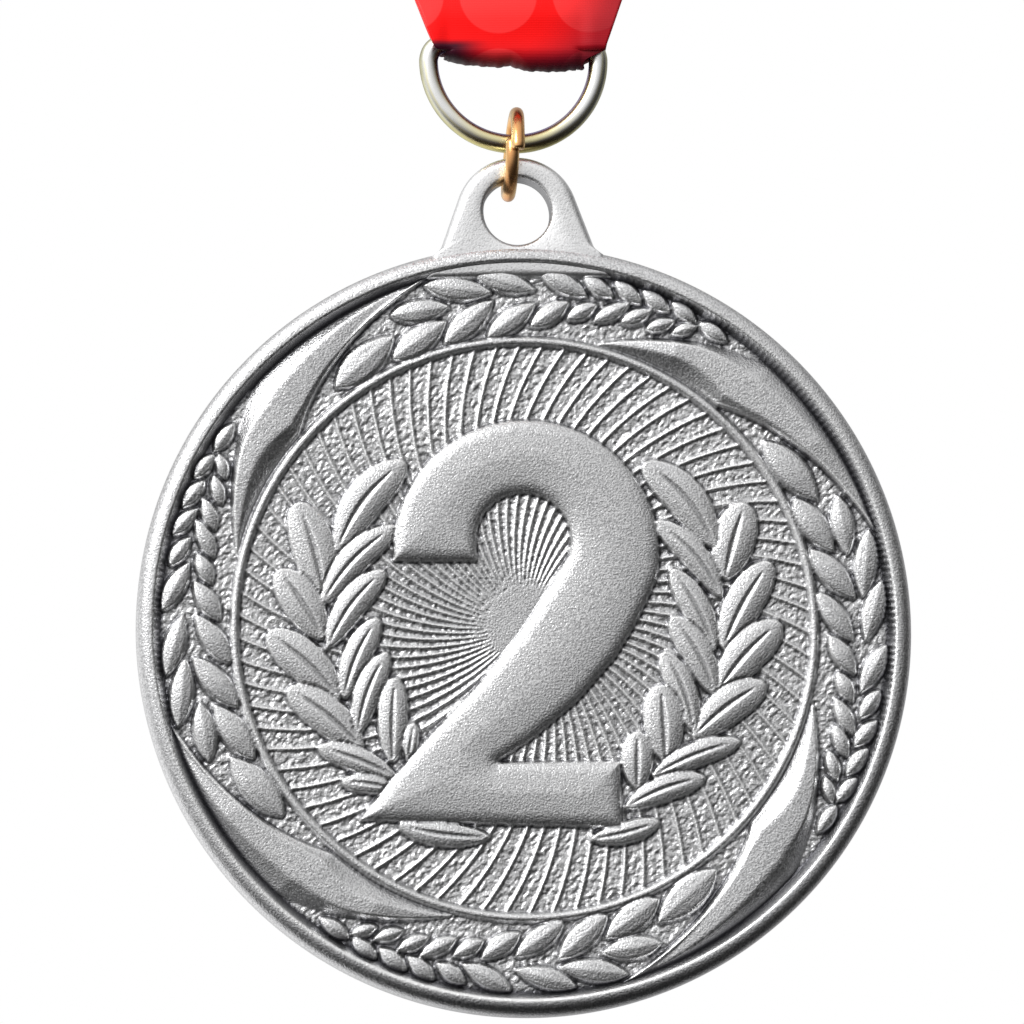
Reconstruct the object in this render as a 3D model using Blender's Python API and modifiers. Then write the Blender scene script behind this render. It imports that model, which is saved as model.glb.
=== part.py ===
"""An award medal on its neck ribbon, hanging as from a hook.

The medal is one casting: a disc with a raised rim, a relief face and a lug. A split jump ring
links the lug to a D-ring, whose straight bar lies in the fold of a neck ribbon. The rest of the
ribbon is folded up into a hank in line with the medal, with a band round it and a loop on top.

Metres, +Z up, the medal's face towards -Y. The origin is where a hook carries the ribbon's loop.
Run with: blender --background --python part.py
"""

import math

import bmesh
import bpy
from mathutils import Matrix, Vector

MM = 0.001

# The medal casting, as a disc whose own axes are X right, Y up and Z out of the face.
DISC_RADIUS = 32.5 * MM
RIM_HALF_THICKNESS = 1.75 * MM
RIM_CREST_WIDTH = 1.3 * MM
RIM_EDGE_ROUNDING = 0.7 * MM
RIM_WALL_WIDTH = 0.65 * MM
FACE_FIELD_HEIGHT = 0.85 * MM
CORD_CIRCLE_RADIUS = 24.3 * MM
CORD_CIRCLE_HALF_WIDTH = 0.5 * MM
CORD_CIRCLE_HEIGHT = 1.3 * MM
BACK_FIELD_HEIGHT = 1.25 * MM
DISC_STEPS = 96

# The lug on top of the disc, with the hole that the jump ring passes through.
LUG_HALF_THICKNESS = 1.45 * MM
HOLE_ABOVE_CENTRE = 35.35 * MM
HOLE_RADIUS = 2.85 * MM
LUG_ARCH_RADIUS = 5.2 * MM
LUG_ARCH_BELOW_HOLE = 0.5 * MM
LUG_FLARE = 20.0
LUG_FOOT_ABOVE_CENTRE = 32.5 * MM
LUG_FILLET_RADIUS = 1.2 * MM
LUG_BEVEL = 0.35 * MM

# The raised numeral and the four crescents that sweep round the wreath.
NUMERAL_TOP = 1.75 * MM
NUMERAL_BOWL_CENTRE = (0.2 * MM, 6.4 * MM)
NUMERAL_BOWL_RADIUS = 11.2 * MM
NUMERAL_COUNTER_CENTRE = (0.0, 7.4 * MM)
NUMERAL_COUNTER_RADIUS = 3.95 * MM
NUMERAL_TERMINAL_HEIGHT = 5.6 * MM
NUMERAL_STEM_OUTSIDE = ((10.2, 2.0), (8.9, -0.4), (7.5, -2.6), (4.2, -6.3), (0.5, -9.3), (-2.5, -11.2))
NUMERAL_FOOT = ((7.8, -11.3), (7.8, -16.9), (-14.2, -16.0))
NUMERAL_STEM_INSIDE = ((-11.8, -12.9), (-8.1, -8.8), (-4.4, -5.1), (-0.6, -0.6), (2.3, 3.7))
CRESCENT_TOP = 1.55 * MM
CRESCENT_START_ANGLES = (113.0, 23.0, -67.0, -157.0)
CRESCENT_SWEEP = 58.0
CRESCENT_INNER_RADIUS = 25.4 * MM
CRESCENT_OUTER_RADIUS = 30.9 * MM
CRESCENT_SWELL = 2.1 * MM
CRESCENT_STEPS = 12
RELIEF_ROOT = 0.3 * MM

# The rings.
JUMP_RING_OUTER_DIAMETER = 8.03 * MM
JUMP_RING_WIRE = 1.15 * MM
JUMP_RING_SPLIT = 12.0
D_RING_WIRE = 1.6 * MM
D_RING_ARC_RADIUS = 7.2 * MM
D_RING_BAR_ABOVE_ARC = 1.5 * MM
D_RING_CORNER_RADIUS = 1.2 * MM
D_RING_TO_JUMP_RING = 1.15 * MM
JUMP_RING_TO_LUG = 0.2 * MM

# The neck ribbon: a loop of ribbon, most of it folded to and fro into the hank.
RIBBON_WIDTH = 22.0 * MM
RIBBON_THICKNESS = 0.45 * MM
RUNS_PER_SIDE = 7
RUN_PITCH = 0.75 * MM
HANK_HEIGHT = 53.5 * MM
HANK_BELOW_HOOK = 6.3 * MM
HANK_ABOVE_BAR = 9.6 * MM
STRAP_OFFSET = 0.5 * MM
FOLD_GAP = 0.3 * MM
FOLD_HALF_WIDTH = 5.9 * MM
STRAP_LEAN_START = 0.4 * MM
STRAP_HALF_GAP = 0.6 * MM
STRAP_CLOSING_FROM = 1.6 * MM
STRAP_EASE = 3.0 * MM
STRAP_FOOT_HALF_WIDTH = 7.5 * MM
STRAP_SHOULDER_SLOPE = 2.0

# The band round the hank, and the sewing thread.
BAND_HEIGHT = 7.0 * MM
BAND_THICKNESS = 0.8 * MM
THREAD_RADIUS = 0.15 * MM
TACK_ABOVE_BAR = 7.4 * MM
TACK_HALF_WIDTH = 5.0 * MM
TACK_HALF_HEIGHT = 0.6 * MM
TACK_TURNS = 9
SEAM_HALF_WIDTH = 6.0 * MM
SEAM_HALF_HEIGHT = 3.5 * MM
SEAM_ABOVE_HANK_BOTTOM = 12.0 * MM
CLEARANCE = 0.3 * MM

# Places down the chain, from the hook at the origin.
HANK_TOP_Z = -HANK_BELOW_HOOK
HANK_BOTTOM_Z = HANK_TOP_Z - HANK_HEIGHT
BAND_Z = (HANK_TOP_Z + HANK_BOTTOM_Z) / 2
BAR_Z = HANK_BOTTOM_Z - HANK_ABOVE_BAR
D_ARC_Z = BAR_Z - D_RING_BAR_ABOVE_ARC
D_LOW_Z = D_ARC_Z - D_RING_ARC_RADIUS
JUMP_RING_RADIUS = (JUMP_RING_OUTER_DIAMETER - JUMP_RING_WIRE) / 2
JUMP_RING_INSIDE = JUMP_RING_RADIUS - JUMP_RING_WIRE / 2
JUMP_RING_Z = D_LOW_Z + D_RING_WIRE / 2 + D_RING_TO_JUMP_RING - JUMP_RING_INSIDE
LUG_REST = math.sqrt((JUMP_RING_INSIDE - JUMP_RING_TO_LUG) ** 2 - LUG_HALF_THICKNESS**2)
HOLE_Z = JUMP_RING_Z - LUG_REST - HOLE_RADIUS
DISC_Z = HOLE_Z - HOLE_ABOVE_CENTRE

FOLD_RADIUS = D_RING_WIRE / 2 + FOLD_GAP + RIBBON_THICKNESS / 2
HANK_HALF_WIDTH = RIBBON_WIDTH / 2 + STRAP_OFFSET
HANK_HALF_DEPTH = RUNS_PER_SIDE * RUN_PITCH


def clear_scene():
    for obj in list(bpy.data.objects):
        bpy.data.objects.remove(obj, do_unlink=True)


def new_collection(name, render=True):
    collection = bpy.data.collections.new(name)
    bpy.context.scene.collection.children.link(collection)
    collection.hide_render = not render
    return collection


clear_scene()
PARTS = new_collection("award_medal")
CUTTERS = new_collection("cutters", render=False)


def material(name, colour, roughness, metallic=0.0):
    made = bpy.data.materials.new(name)
    made.use_nodes = True
    shader = made.node_tree.nodes["Principled BSDF"]
    shader.inputs["Base Color"].default_value = (*colour, 1.0)
    shader.inputs["Roughness"].default_value = roughness
    shader.inputs["Metallic"].default_value = metallic
    made.diffuse_color = (*colour, 1.0)
    return made


SATIN_SILVER = material("satin_silver", (0.62, 0.62, 0.63), 0.42, 1.0)
GOLD_WIRE = material("gold_wire", (0.72, 0.44, 0.17), 0.25, 1.0)
STEEL_WIRE = material("steel_wire", (0.62, 0.58, 0.42), 0.2, 1.0)
RED_SATIN = material("red_satin", (0.80, 0.01, 0.012), 0.45)
BAND_ELASTIC = material("band_elastic", (0.03, 0.03, 0.035), 0.7)
RED_THREAD = material("red_thread", (0.55, 0.01, 0.012), 0.6)


def add_object(name, data, finish, collection=PARTS):
    obj = bpy.data.objects.new(name, data)
    collection.objects.link(obj)
    if finish is not None:
        data.materials.append(finish)
    return obj


def as_mesh_object(obj, collection):
    """Replaces a curve object by the mesh it makes, with its caps welded."""
    bpy.context.view_layer.update()
    graph = bpy.context.evaluated_depsgraph_get()
    mesh = bpy.data.meshes.new_from_object(obj.evaluated_get(graph))
    shape = bmesh.new()
    shape.from_mesh(mesh)
    bmesh.ops.remove_doubles(shape, verts=shape.verts, dist=1e-7)
    bmesh.ops.recalc_face_normals(shape, faces=shape.faces)
    shape.to_mesh(mesh)
    shape.free()
    name, place = obj.name, obj.matrix_world.copy()
    bpy.data.objects.remove(obj, do_unlink=True)
    made = bpy.data.objects.new(name, mesh)
    made.matrix_world = place
    collection.objects.link(made)
    return made


def make_helper(obj):
    obj.hide_render = True
    obj.display_type = "WIRE"


def boolean(obj, other, operation):
    step = obj.modifiers.new(f"{operation.lower()}_{other.name}", "BOOLEAN")
    step.operation = operation
    step.solver = "EXACT"
    step.object = other
    make_helper(other)


def arc_points(centre, radius, start, end, steps):
    """Points on an arc in a plane, angles in degrees, both ends included."""
    turn = [math.radians(start + (end - start) * i / steps) for i in range(steps + 1)]
    return [(centre[0] + radius * math.cos(t), centre[1] + radius * math.sin(t)) for t in turn]


# ---------------------------------------------------------------- the medal casting


def disc_profile():
    """Half section of the disc, from the middle of the face round the rim to the back."""
    crest_out = DISC_RADIUS - RIM_EDGE_ROUNDING
    crest_in = DISC_RADIUS - RIM_CREST_WIDTH
    wall_foot = crest_in - RIM_WALL_WIDTH
    edge = RIM_HALF_THICKNESS - RIM_EDGE_ROUNDING
    cord_low, cord_high = FACE_FIELD_HEIGHT, CORD_CIRCLE_HEIGHT
    cord_in = CORD_CIRCLE_RADIUS - CORD_CIRCLE_HALF_WIDTH
    cord_out = CORD_CIRCLE_RADIUS + CORD_CIRCLE_HALF_WIDTH
    front_edge = arc_points((crest_out, edge), RIM_EDGE_ROUNDING, 67.5, 0.0, 3)
    back_edge = arc_points((crest_out, -edge), RIM_EDGE_ROUNDING, 0.0, -67.5, 3)
    return (
        [(0.0, cord_low), (cord_in, cord_low)]
        + [(CORD_CIRCLE_RADIUS, cord_high), (cord_out, cord_low)]
        + [(wall_foot, cord_low), (crest_in, RIM_HALF_THICKNESS), (crest_out, RIM_HALF_THICKNESS)]
        + front_edge
        + back_edge
        + [(crest_out, -RIM_HALF_THICKNESS), (crest_in, -RIM_HALF_THICKNESS)]
        + [(wall_foot, -BACK_FIELD_HEIGHT), (0.0, -BACK_FIELD_HEIGHT)]
    )


def turned(name, profile, steps, finish):
    """A profile of (radius, height) points turned about Z."""
    mesh = bpy.data.meshes.new(name)
    points = [(r, 0.0, h) for r, h in profile]
    mesh.from_pydata(points, [(i, i + 1) for i in range(len(points) - 1)], [])
    obj = add_object(name, mesh, finish)
    turn = obj.modifiers.new("turn", "SCREW")
    turn.steps = turn.render_steps = steps
    turn.use_merge_vertices = True
    turn.merge_threshold = 1e-6
    turn.use_smooth_shade = True
    return obj


def flat_outline(name, outline, half_depth, middle=0.0, bevel=0.0):
    """A closed 2D outline given a thickness along its own Z, as a welded mesh."""
    curve = bpy.data.curves.new(name, "CURVE")
    curve.dimensions = "2D"
    curve.fill_mode = "BOTH"
    curve.extrude = half_depth - bevel
    curve.bevel_depth = bevel
    curve.bevel_resolution = 1
    curve.offset = -bevel
    spline = curve.splines.new("POLY")
    spline.points.add(len(outline) - 1)
    for point, (x, y) in zip(spline.points, outline):
        point.co = (x, y, 0.0, 1.0)
    spline.use_cyclic_u = True
    obj = bpy.data.objects.new(name, curve)
    obj.location.z = middle
    CUTTERS.objects.link(obj)
    return as_mesh_object(obj, CUTTERS)


def lug_outline():
    """The arch over the hole, its straight sides flaring into the disc through two fillets."""
    arch_centre = HOLE_ABOVE_CENTRE - LUG_ARCH_BELOW_HOLE
    arch = arc_points((0.0, arch_centre), LUG_ARCH_RADIUS, LUG_FLARE, 180.0 - LUG_FLARE, 20)
    across, up = math.cos(math.radians(LUG_FLARE)), math.sin(math.radians(LUG_FLARE))
    drop = arch_centre + LUG_ARCH_RADIUS * up - LUG_FOOT_ABOVE_CENTRE
    foot_half_width = LUG_ARCH_RADIUS * across + drop * up / across
    fillet_centre = (
        foot_half_width + LUG_FILLET_RADIUS * across,
        LUG_FOOT_ABOVE_CENTRE + LUG_FILLET_RADIUS * up,
    )
    fillet = arc_points(fillet_centre, LUG_FILLET_RADIUS, 258.0, 180.0 + LUG_FLARE, 5)
    left_fillet = [(-x, y) for x, y in reversed(fillet)]
    root = DISC_RADIUS - 1.5 * RIM_CREST_WIDTH
    spread = math.radians(75.0)
    root_right = (root * math.cos(spread), root * math.sin(spread))
    root_left = (-root_right[0], root_right[1])
    return fillet + arch + left_fillet + [root_left, root_right]


def numeral_outline():
    """A broad 2: a bowl between two circles, a leaning stem and a flat foot."""
    bowl = arc_points(NUMERAL_BOWL_CENTRE, NUMERAL_BOWL_RADIUS, 183.5, -12.0, 26)
    counter = arc_points(NUMERAL_COUNTER_CENTRE, NUMERAL_COUNTER_RADIUS, -18.0, 183.0, 14)
    terminal_x = NUMERAL_COUNTER_CENTRE[0] - NUMERAL_COUNTER_RADIUS
    corner = [(terminal_x, NUMERAL_TERMINAL_HEIGHT)]
    below = NUMERAL_STEM_OUTSIDE + NUMERAL_FOOT + NUMERAL_STEM_INSIDE
    return bowl + [(x * MM, y * MM) for x, y in below] + counter + corner


def crescent_outline(start):
    """A pointed sweep that crosses the wreath from the rim to the cord circle."""
    outer, inner = [], []
    for i in range(CRESCENT_STEPS + 1):
        share = i / CRESCENT_STEPS
        angle = math.radians(start + CRESCENT_SWEEP * share)
        middle = CRESCENT_OUTER_RADIUS + (CRESCENT_INNER_RADIUS - CRESCENT_OUTER_RADIUS) * share
        swell = CRESCENT_SWELL * math.sin(math.pi * share)
        out_radius = min(middle + swell, CRESCENT_OUTER_RADIUS)
        in_radius = max(middle - swell, CRESCENT_INNER_RADIUS)
        outer.append((out_radius * math.cos(angle), out_radius * math.sin(angle)))
        inner.append((in_radius * math.cos(angle), in_radius * math.sin(angle)))
    return outer + inner[-2:0:-1]


def build_medal():
    disc = turned("medal_casting", disc_profile(), DISC_STEPS, SATIN_SILVER)
    lug = flat_outline("lug", lug_outline(), LUG_HALF_THICKNESS, bevel=LUG_BEVEL)
    boolean(disc, lug, "UNION")
    numeral_depth = (NUMERAL_TOP - FACE_FIELD_HEIGHT + RELIEF_ROOT) / 2
    numeral = flat_outline(
        "numeral", numeral_outline(), numeral_depth, NUMERAL_TOP - numeral_depth
    )
    boolean(disc, numeral, "UNION")
    crescent_depth = (CRESCENT_TOP - FACE_FIELD_HEIGHT + RELIEF_ROOT) / 2
    for i, start in enumerate(CRESCENT_START_ANGLES):
        crescent = flat_outline(
            f"crescent_{i + 1}", crescent_outline(start), crescent_depth, CRESCENT_TOP - crescent_depth
        )
        boolean(disc, crescent, "UNION")
    hole_steps = arc_points((0.0, HOLE_ABOVE_CENTRE), HOLE_RADIUS, 0.0, 352.5, 47)
    hole = flat_outline("lug_hole", hole_steps, 2 * LUG_HALF_THICKNESS)
    boolean(disc, hole, "DIFFERENCE")
    stand = Matrix.Translation((0.0, 0.0, DISC_Z)) @ Matrix.Rotation(math.radians(90.0), 4, "X")
    for obj in [disc] + [step.object for step in disc.modifiers if step.type == "BOOLEAN"]:
        obj.matrix_world = stand @ obj.matrix_world
    return disc


# ---------------------------------------------------------------- the wire rings


def wire(name, points, radius, finish, closed):
    """A round wire along points in the object's own frame."""
    curve = bpy.data.curves.new(name, "CURVE")
    curve.dimensions = "3D"
    curve.bevel_depth = radius
    curve.bevel_resolution = 2
    curve.use_fill_caps = True
    spline = curve.splines.new("POLY")
    spline.points.add(len(points) - 1)
    for point, place in zip(spline.points, points):
        point.co = (*place, 1.0)
    spline.use_cyclic_u = closed
    spline.use_smooth = True
    return add_object(name, curve, finish)


def d_ring_path():
    """The D, in the XZ plane, seen from its straight bar as origin."""
    bar_half = math.sqrt(D_RING_ARC_RADIUS**2 - D_RING_BAR_ABOVE_ARC**2)
    low = math.degrees(math.asin(D_RING_BAR_ABOVE_ARC / D_RING_ARC_RADIUS))
    trim = math.degrees(D_RING_CORNER_RADIUS / D_RING_ARC_RADIUS)
    arc = arc_points((0.0, -D_RING_BAR_ABOVE_ARC), D_RING_ARC_RADIUS, low - trim, -180 - low + trim, 40)
    bar_end = bar_half - D_RING_CORNER_RADIUS
    right_end, left_end = Vector((bar_end, 0.0)), Vector((-bar_end, 0.0))

    def corner(start, tip, end):
        steps = [i / 4 for i in (1, 2, 3)]
        return [((1 - s) ** 2 * start + 2 * s * (1 - s) * tip + s**2 * end)[:] for s in steps]

    left_corner = corner(Vector(arc[-1]), Vector((-bar_half, 0.0)), left_end)
    right_corner = corner(right_end, Vector((bar_half, 0.0)), Vector(arc[0]))
    bar = [(bar_end * share, 0.0) for share in (-1.0, -0.5, 0.0, 0.5, 1.0)]
    return [(x, 0.0, z) for x, z in arc + left_corner + bar + right_corner]


def build_d_ring():
    ring = wire("d_ring", d_ring_path(), D_RING_WIRE / 2, STEEL_WIRE, closed=True)
    ring.location = (0.0, 0.0, BAR_Z)
    return ring


def build_jump_ring():
    """A round ring of wire in the YZ plane, cut through on the side towards the viewer."""
    turn_on = JUMP_RING_SPLIT / 2
    circle = arc_points((0.0, 0.0), JUMP_RING_RADIUS, 180.0 + turn_on, 540.0 - turn_on, 40)
    ring = wire(
        "jump_ring", [(0.0, y, z) for y, z in circle], JUMP_RING_WIRE / 2, GOLD_WIRE, closed=False
    )
    ring.location = (0.0, 0.0, JUMP_RING_Z)
    return ring


# ---------------------------------------------------------------- the neck ribbon


def ribbon_strip(name, rows, finish=RED_SATIN):
    """A strip of ribbon through rows of (centre x, half width, y, z)."""
    shape = bmesh.new()
    lines = []
    for middle, half_width, y, z in rows:
        across = (-1.0, -0.5, 0.0, 0.5, 1.0)
        lines.append([shape.verts.new((middle + half_width * a, y, z)) for a in across])
    for above, below in zip(lines, lines[1:]):
        for i in range(len(above) - 1):
            shape.faces.new((above[i], above[i + 1], below[i + 1], below[i]))
    mesh = bpy.data.meshes.new(name)
    shape.to_mesh(mesh)
    shape.free()
    obj = add_object(name, mesh, finish)
    skin = obj.modifiers.new("ribbon_thickness", "SOLIDIFY")
    skin.thickness = RIBBON_THICKNESS
    skin.offset = 0.0
    skin.use_even_offset = True
    return obj


def ease(value):
    value = min(max(value, 0.0), 1.0)
    return value * value * (3 - 2 * value)


def strap_row(height, side):
    """One ply of the ribbon at a height above the bar: side is -1 in front, 1 behind."""
    closing = ease((height - STRAP_CLOSING_FROM) / STRAP_EASE)
    strap_y = FOLD_RADIUS + (STRAP_HALF_GAP - FOLD_RADIUS) * closing
    spread = (RIBBON_WIDTH / 2 - STRAP_FOOT_HALF_WIDTH) * height / HANK_ABOVE_BAR
    shoulder = FOLD_HALF_WIDTH + STRAP_SHOULDER_SLOPE * height
    half_width = min(STRAP_FOOT_HALF_WIDTH + spread, shoulder)
    lean = STRAP_OFFSET * ease((height + STRAP_LEAN_START) / (HANK_ABOVE_BAR + STRAP_LEAN_START))
    return (side * lean, half_width, side * strap_y, BAR_Z + height)


def build_fold():
    """The end of the loop, from the hank down round the bar and up again."""
    top = HANK_ABOVE_BAR - CLEARANCE
    heights = [top * i / 9 for i in range(10)]
    front = [strap_row(height, -1) for height in reversed(heights)]
    back = [strap_row(height, 1) for height in heights]
    bend = []
    for y, z in arc_points((0.0, 0.0), FOLD_RADIUS, 180.0, 360.0, 12)[1:-1]:
        bend.append((0.0, FOLD_HALF_WIDTH, y, BAR_Z + z))
    return ribbon_strip("ribbon_fold", front + bend + back)


def build_hank():
    """The folded length of the ribbon as one block with round edges."""
    bpy.ops.mesh.primitive_cube_add(size=1.0, location=(0.0, 0.0, BAND_Z))
    block = bpy.context.object
    block.name = block.data.name = "ribbon_hank"
    for collection in list(block.users_collection):
        collection.objects.unlink(block)
    PARTS.objects.link(block)
    size = Matrix.Diagonal((2 * HANK_HALF_WIDTH, 2 * HANK_HALF_DEPTH, HANK_HEIGHT, 1.0))
    block.data.transform(size)
    block.data.materials.append(RED_SATIN)
    edges = block.modifiers.new("round_edges", "BEVEL")
    edges.width = RUN_PITCH
    edges.segments = 2
    return block


def build_neck_loop():
    """The middle of the ribbon, arching over the hook from one face of the hank to the other."""
    radius = HANK_HALF_DEPTH - RUN_PITCH / 2
    straight = HANK_BELOW_HOOK - (radius - RIBBON_THICKNESS / 2)
    arch_z = HANK_TOP_Z + straight
    rows = [(-STRAP_OFFSET, RIBBON_WIDTH / 2, -radius, HANK_TOP_Z + CLEARANCE)]
    for i, (y, z) in enumerate(arc_points((0.0, arch_z), radius, 180.0, 0.0, 16)):
        lean = STRAP_OFFSET * (2 * ease(i / 16) - 1)
        rows.append((lean, RIBBON_WIDTH / 2, y, z))
    rows.append((STRAP_OFFSET, RIBBON_WIDTH / 2, radius, HANK_TOP_Z + CLEARANCE))
    return ribbon_strip("ribbon_neck_loop", rows)


def build_band():
    """A flat band round the middle of the hank."""
    inside = HANK_HALF_WIDTH + CLEARANCE, HANK_HALF_DEPTH + CLEARANCE
    corner = RUN_PITCH + CLEARANCE
    outline = []
    for sign_x, sign_y, start in ((1, 1, 0.0), (-1, 1, 90.0), (-1, -1, 180.0), (1, -1, 270.0)):
        centre = (sign_x * (inside[0] - corner), sign_y * (inside[1] - corner))
        outline += arc_points(centre, corner, start, start + 90.0, 4)
    shape = bmesh.new()
    rings = []
    for z in (-BAND_HEIGHT / 2, BAND_HEIGHT / 2):
        rings.append([shape.verts.new((x, y, z)) for x, y in outline])
    for i in range(len(outline)):
        j = (i + 1) % len(outline)
        shape.faces.new((rings[0][i], rings[0][j], rings[1][j], rings[1][i]))
    mesh = bpy.data.meshes.new("ribbon_band")
    shape.to_mesh(mesh)
    shape.free()
    band = add_object("ribbon_band", mesh, BAND_ELASTIC)
    band.location = (0.0, 0.0, BAND_Z)
    skin = band.modifiers.new("band_thickness", "SOLIDIFY")
    skin.thickness = BAND_THICKNESS
    skin.offset = 1.0
    return band


# ---------------------------------------------------------------- the sewing


def build_tack(name, side):
    """The zigzag bar tack that holds the two plies together above the D-ring."""
    row = strap_row(TACK_ABOVE_BAR, side)
    y = side * (abs(row[2]) + RIBBON_THICKNESS / 2 + CLEARANCE + THREAD_RADIUS)
    points = []
    for i in range(2 * TACK_TURNS + 1):
        x = TACK_HALF_WIDTH * (i / TACK_TURNS - 1)
        points.append((x, 0.0, TACK_HALF_HEIGHT * (-1) ** i))
    tack = wire(name, points, THREAD_RADIUS, RED_THREAD, closed=False)
    tack.location = (0.0, y, BAR_Z + TACK_ABOVE_BAR)
    return tack


def build_loop_seam():
    """The box of stitches behind the hank, where the ribbon's two ends overlap."""
    w, h = SEAM_HALF_WIDTH, SEAM_HALF_HEIGHT
    corners = [(-w, 0.0, -h), (w, 0.0, -h), (w, 0.0, h), (-w, 0.0, h)]
    seam = wire("loop_seam", corners, THREAD_RADIUS, RED_THREAD, closed=True)
    y = HANK_HALF_DEPTH + CLEARANCE + THREAD_RADIUS
    seam.location = (STRAP_OFFSET, y, HANK_BOTTOM_Z + SEAM_ABOVE_HANK_BOTTOM)
    return seam


build_medal()
build_jump_ring()
build_d_ring()
build_fold()
build_hank()
build_neck_loop()
build_band()
build_tack("front_tack", -1)
build_tack("back_tack", 1)
build_loop_seam()
bpy.context.view_layer.update()
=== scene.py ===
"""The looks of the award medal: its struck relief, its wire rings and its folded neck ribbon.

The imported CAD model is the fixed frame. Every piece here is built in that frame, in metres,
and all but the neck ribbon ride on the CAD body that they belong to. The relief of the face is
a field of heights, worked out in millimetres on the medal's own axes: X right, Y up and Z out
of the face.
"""

import math

import bpy
import numpy as np
from mathutils import Matrix, Vector


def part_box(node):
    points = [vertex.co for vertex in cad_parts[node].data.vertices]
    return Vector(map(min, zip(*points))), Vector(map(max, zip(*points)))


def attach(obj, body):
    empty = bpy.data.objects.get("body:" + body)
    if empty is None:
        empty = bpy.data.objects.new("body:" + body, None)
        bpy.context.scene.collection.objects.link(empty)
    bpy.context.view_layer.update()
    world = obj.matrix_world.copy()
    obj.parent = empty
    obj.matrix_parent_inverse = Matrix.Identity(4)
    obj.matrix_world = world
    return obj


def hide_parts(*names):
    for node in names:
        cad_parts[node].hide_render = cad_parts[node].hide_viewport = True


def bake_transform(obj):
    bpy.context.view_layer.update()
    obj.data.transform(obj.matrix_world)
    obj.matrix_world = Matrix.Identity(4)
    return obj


MM = 0.001

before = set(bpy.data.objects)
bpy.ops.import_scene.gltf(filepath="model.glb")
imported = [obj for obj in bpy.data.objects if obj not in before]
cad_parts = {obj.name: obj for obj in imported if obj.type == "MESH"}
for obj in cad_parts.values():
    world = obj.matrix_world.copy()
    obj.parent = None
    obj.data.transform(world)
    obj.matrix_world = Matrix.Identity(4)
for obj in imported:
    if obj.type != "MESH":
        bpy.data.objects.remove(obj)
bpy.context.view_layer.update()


# ---------------- camera, light and floor

# A scratch program fitted this camera, by least squares, to places read by eye on the photo.
VIEW_TARGET = Vector((-0.85, 0.0, -109.5)) * MM
VIEW_AZIMUTH = math.radians(-4.0)
VIEW_ELEVATION = math.radians(-8.0)
VIEW_ROLL = math.radians(-1.1)
VIEW_DISTANCE = 607.7 * MM
VIEW_LENS = 254.6


def add_camera():
    """The camera stands a little below and to the left of the medal's face, and looks up at it."""
    from_target = Vector(
        (
            math.sin(VIEW_AZIMUTH) * math.cos(VIEW_ELEVATION),
            -math.cos(VIEW_AZIMUTH) * math.cos(VIEW_ELEVATION),
            math.sin(VIEW_ELEVATION),
        )
    )
    place = VIEW_TARGET + VIEW_DISTANCE * from_target
    aim = (-from_target).to_track_quat("-Z", "Y").to_matrix().to_4x4()
    data = bpy.data.cameras.new("camera")
    data.lens = VIEW_LENS
    data.clip_start = 10 * MM
    camera = bpy.data.objects.new("camera", data)
    camera.matrix_world = Matrix.Translation(place) @ aim @ Matrix.Rotation(VIEW_ROLL, 4, "Z")
    bpy.context.scene.collection.objects.link(camera)
    bpy.context.scene.camera = camera


def node(tree, kind, **settings):
    """A new node. Settings named as inputs are fed there, and the others set on the node."""
    made = tree.nodes.new(kind)
    for name, value in settings.items():
        if hasattr(made, name):
            setattr(made, name, value)
        else:
            feed(tree, made.inputs[name.replace("_", " ")], value)
    return made


def feed(tree, socket, source):
    """Links a socket to another one, or sets it to a plain value or colour."""
    if isinstance(source, bpy.types.NodeSocket):
        tree.links.new(source, socket)
    else:
        socket.default_value = (*source, 1.0) if socket.type == "RGBA" else source


def maths(tree, operation, *sources, kind="ShaderNodeMath"):
    """What a maths node makes of its sockets and plain values."""
    made = node(tree, kind, operation=operation)
    for socket, source in zip(made.inputs, sources):
        feed(tree, socket, source)
    return made.outputs["Value" if operation in ("DOT_PRODUCT", "DISTANCE") else 0]


def ramp(tree, source, stops):
    """A straight colour ramp of (position, grey level or colour) stops, fed by a socket."""
    made = tree.nodes.new("ShaderNodeValToRGB")
    made.color_ramp.interpolation = "LINEAR"
    elements = made.color_ramp.elements
    while len(elements) < len(stops):
        elements.new(0.5)
    for element, (position, level) in zip(elements, stops):
        element.position = position
        colour = level if isinstance(level, tuple) else (level, level, level)
        element.color = (*colour, 1.0)
    tree.links.new(source, made.inputs["Fac"])
    return made.outputs["Color"]


# The dome's three lobes: where each shines from, and its brightness from the far side to there.
SKY_FROM = Vector((-0.46, -0.40, 0.79)).normalized()
SKY_STOPS = (
    (0.0, 0.02),
    (0.36, 0.035),
    (0.50, 0.12),
    (0.62, 0.38),
    (0.72, 0.70),
    (0.82, 0.88),
    (0.92, 0.98),
    (1.0, 1.06),
)
REAR_FROM = Vector((0.0, 0.97, 0.24)).normalized()
REAR_STOPS = ((0.52, 0.0), (0.70, 0.30), (0.88, 0.46), (1.0, 0.52))
EDGE_FROM = Vector((-0.70, 0.60, -0.38)).normalized()
EDGE_STOPS = ((0.76, 0.0), (0.88, 0.9), (1.0, 1.2))
VECTORS = "ShaderNodeVectorMath"


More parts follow.
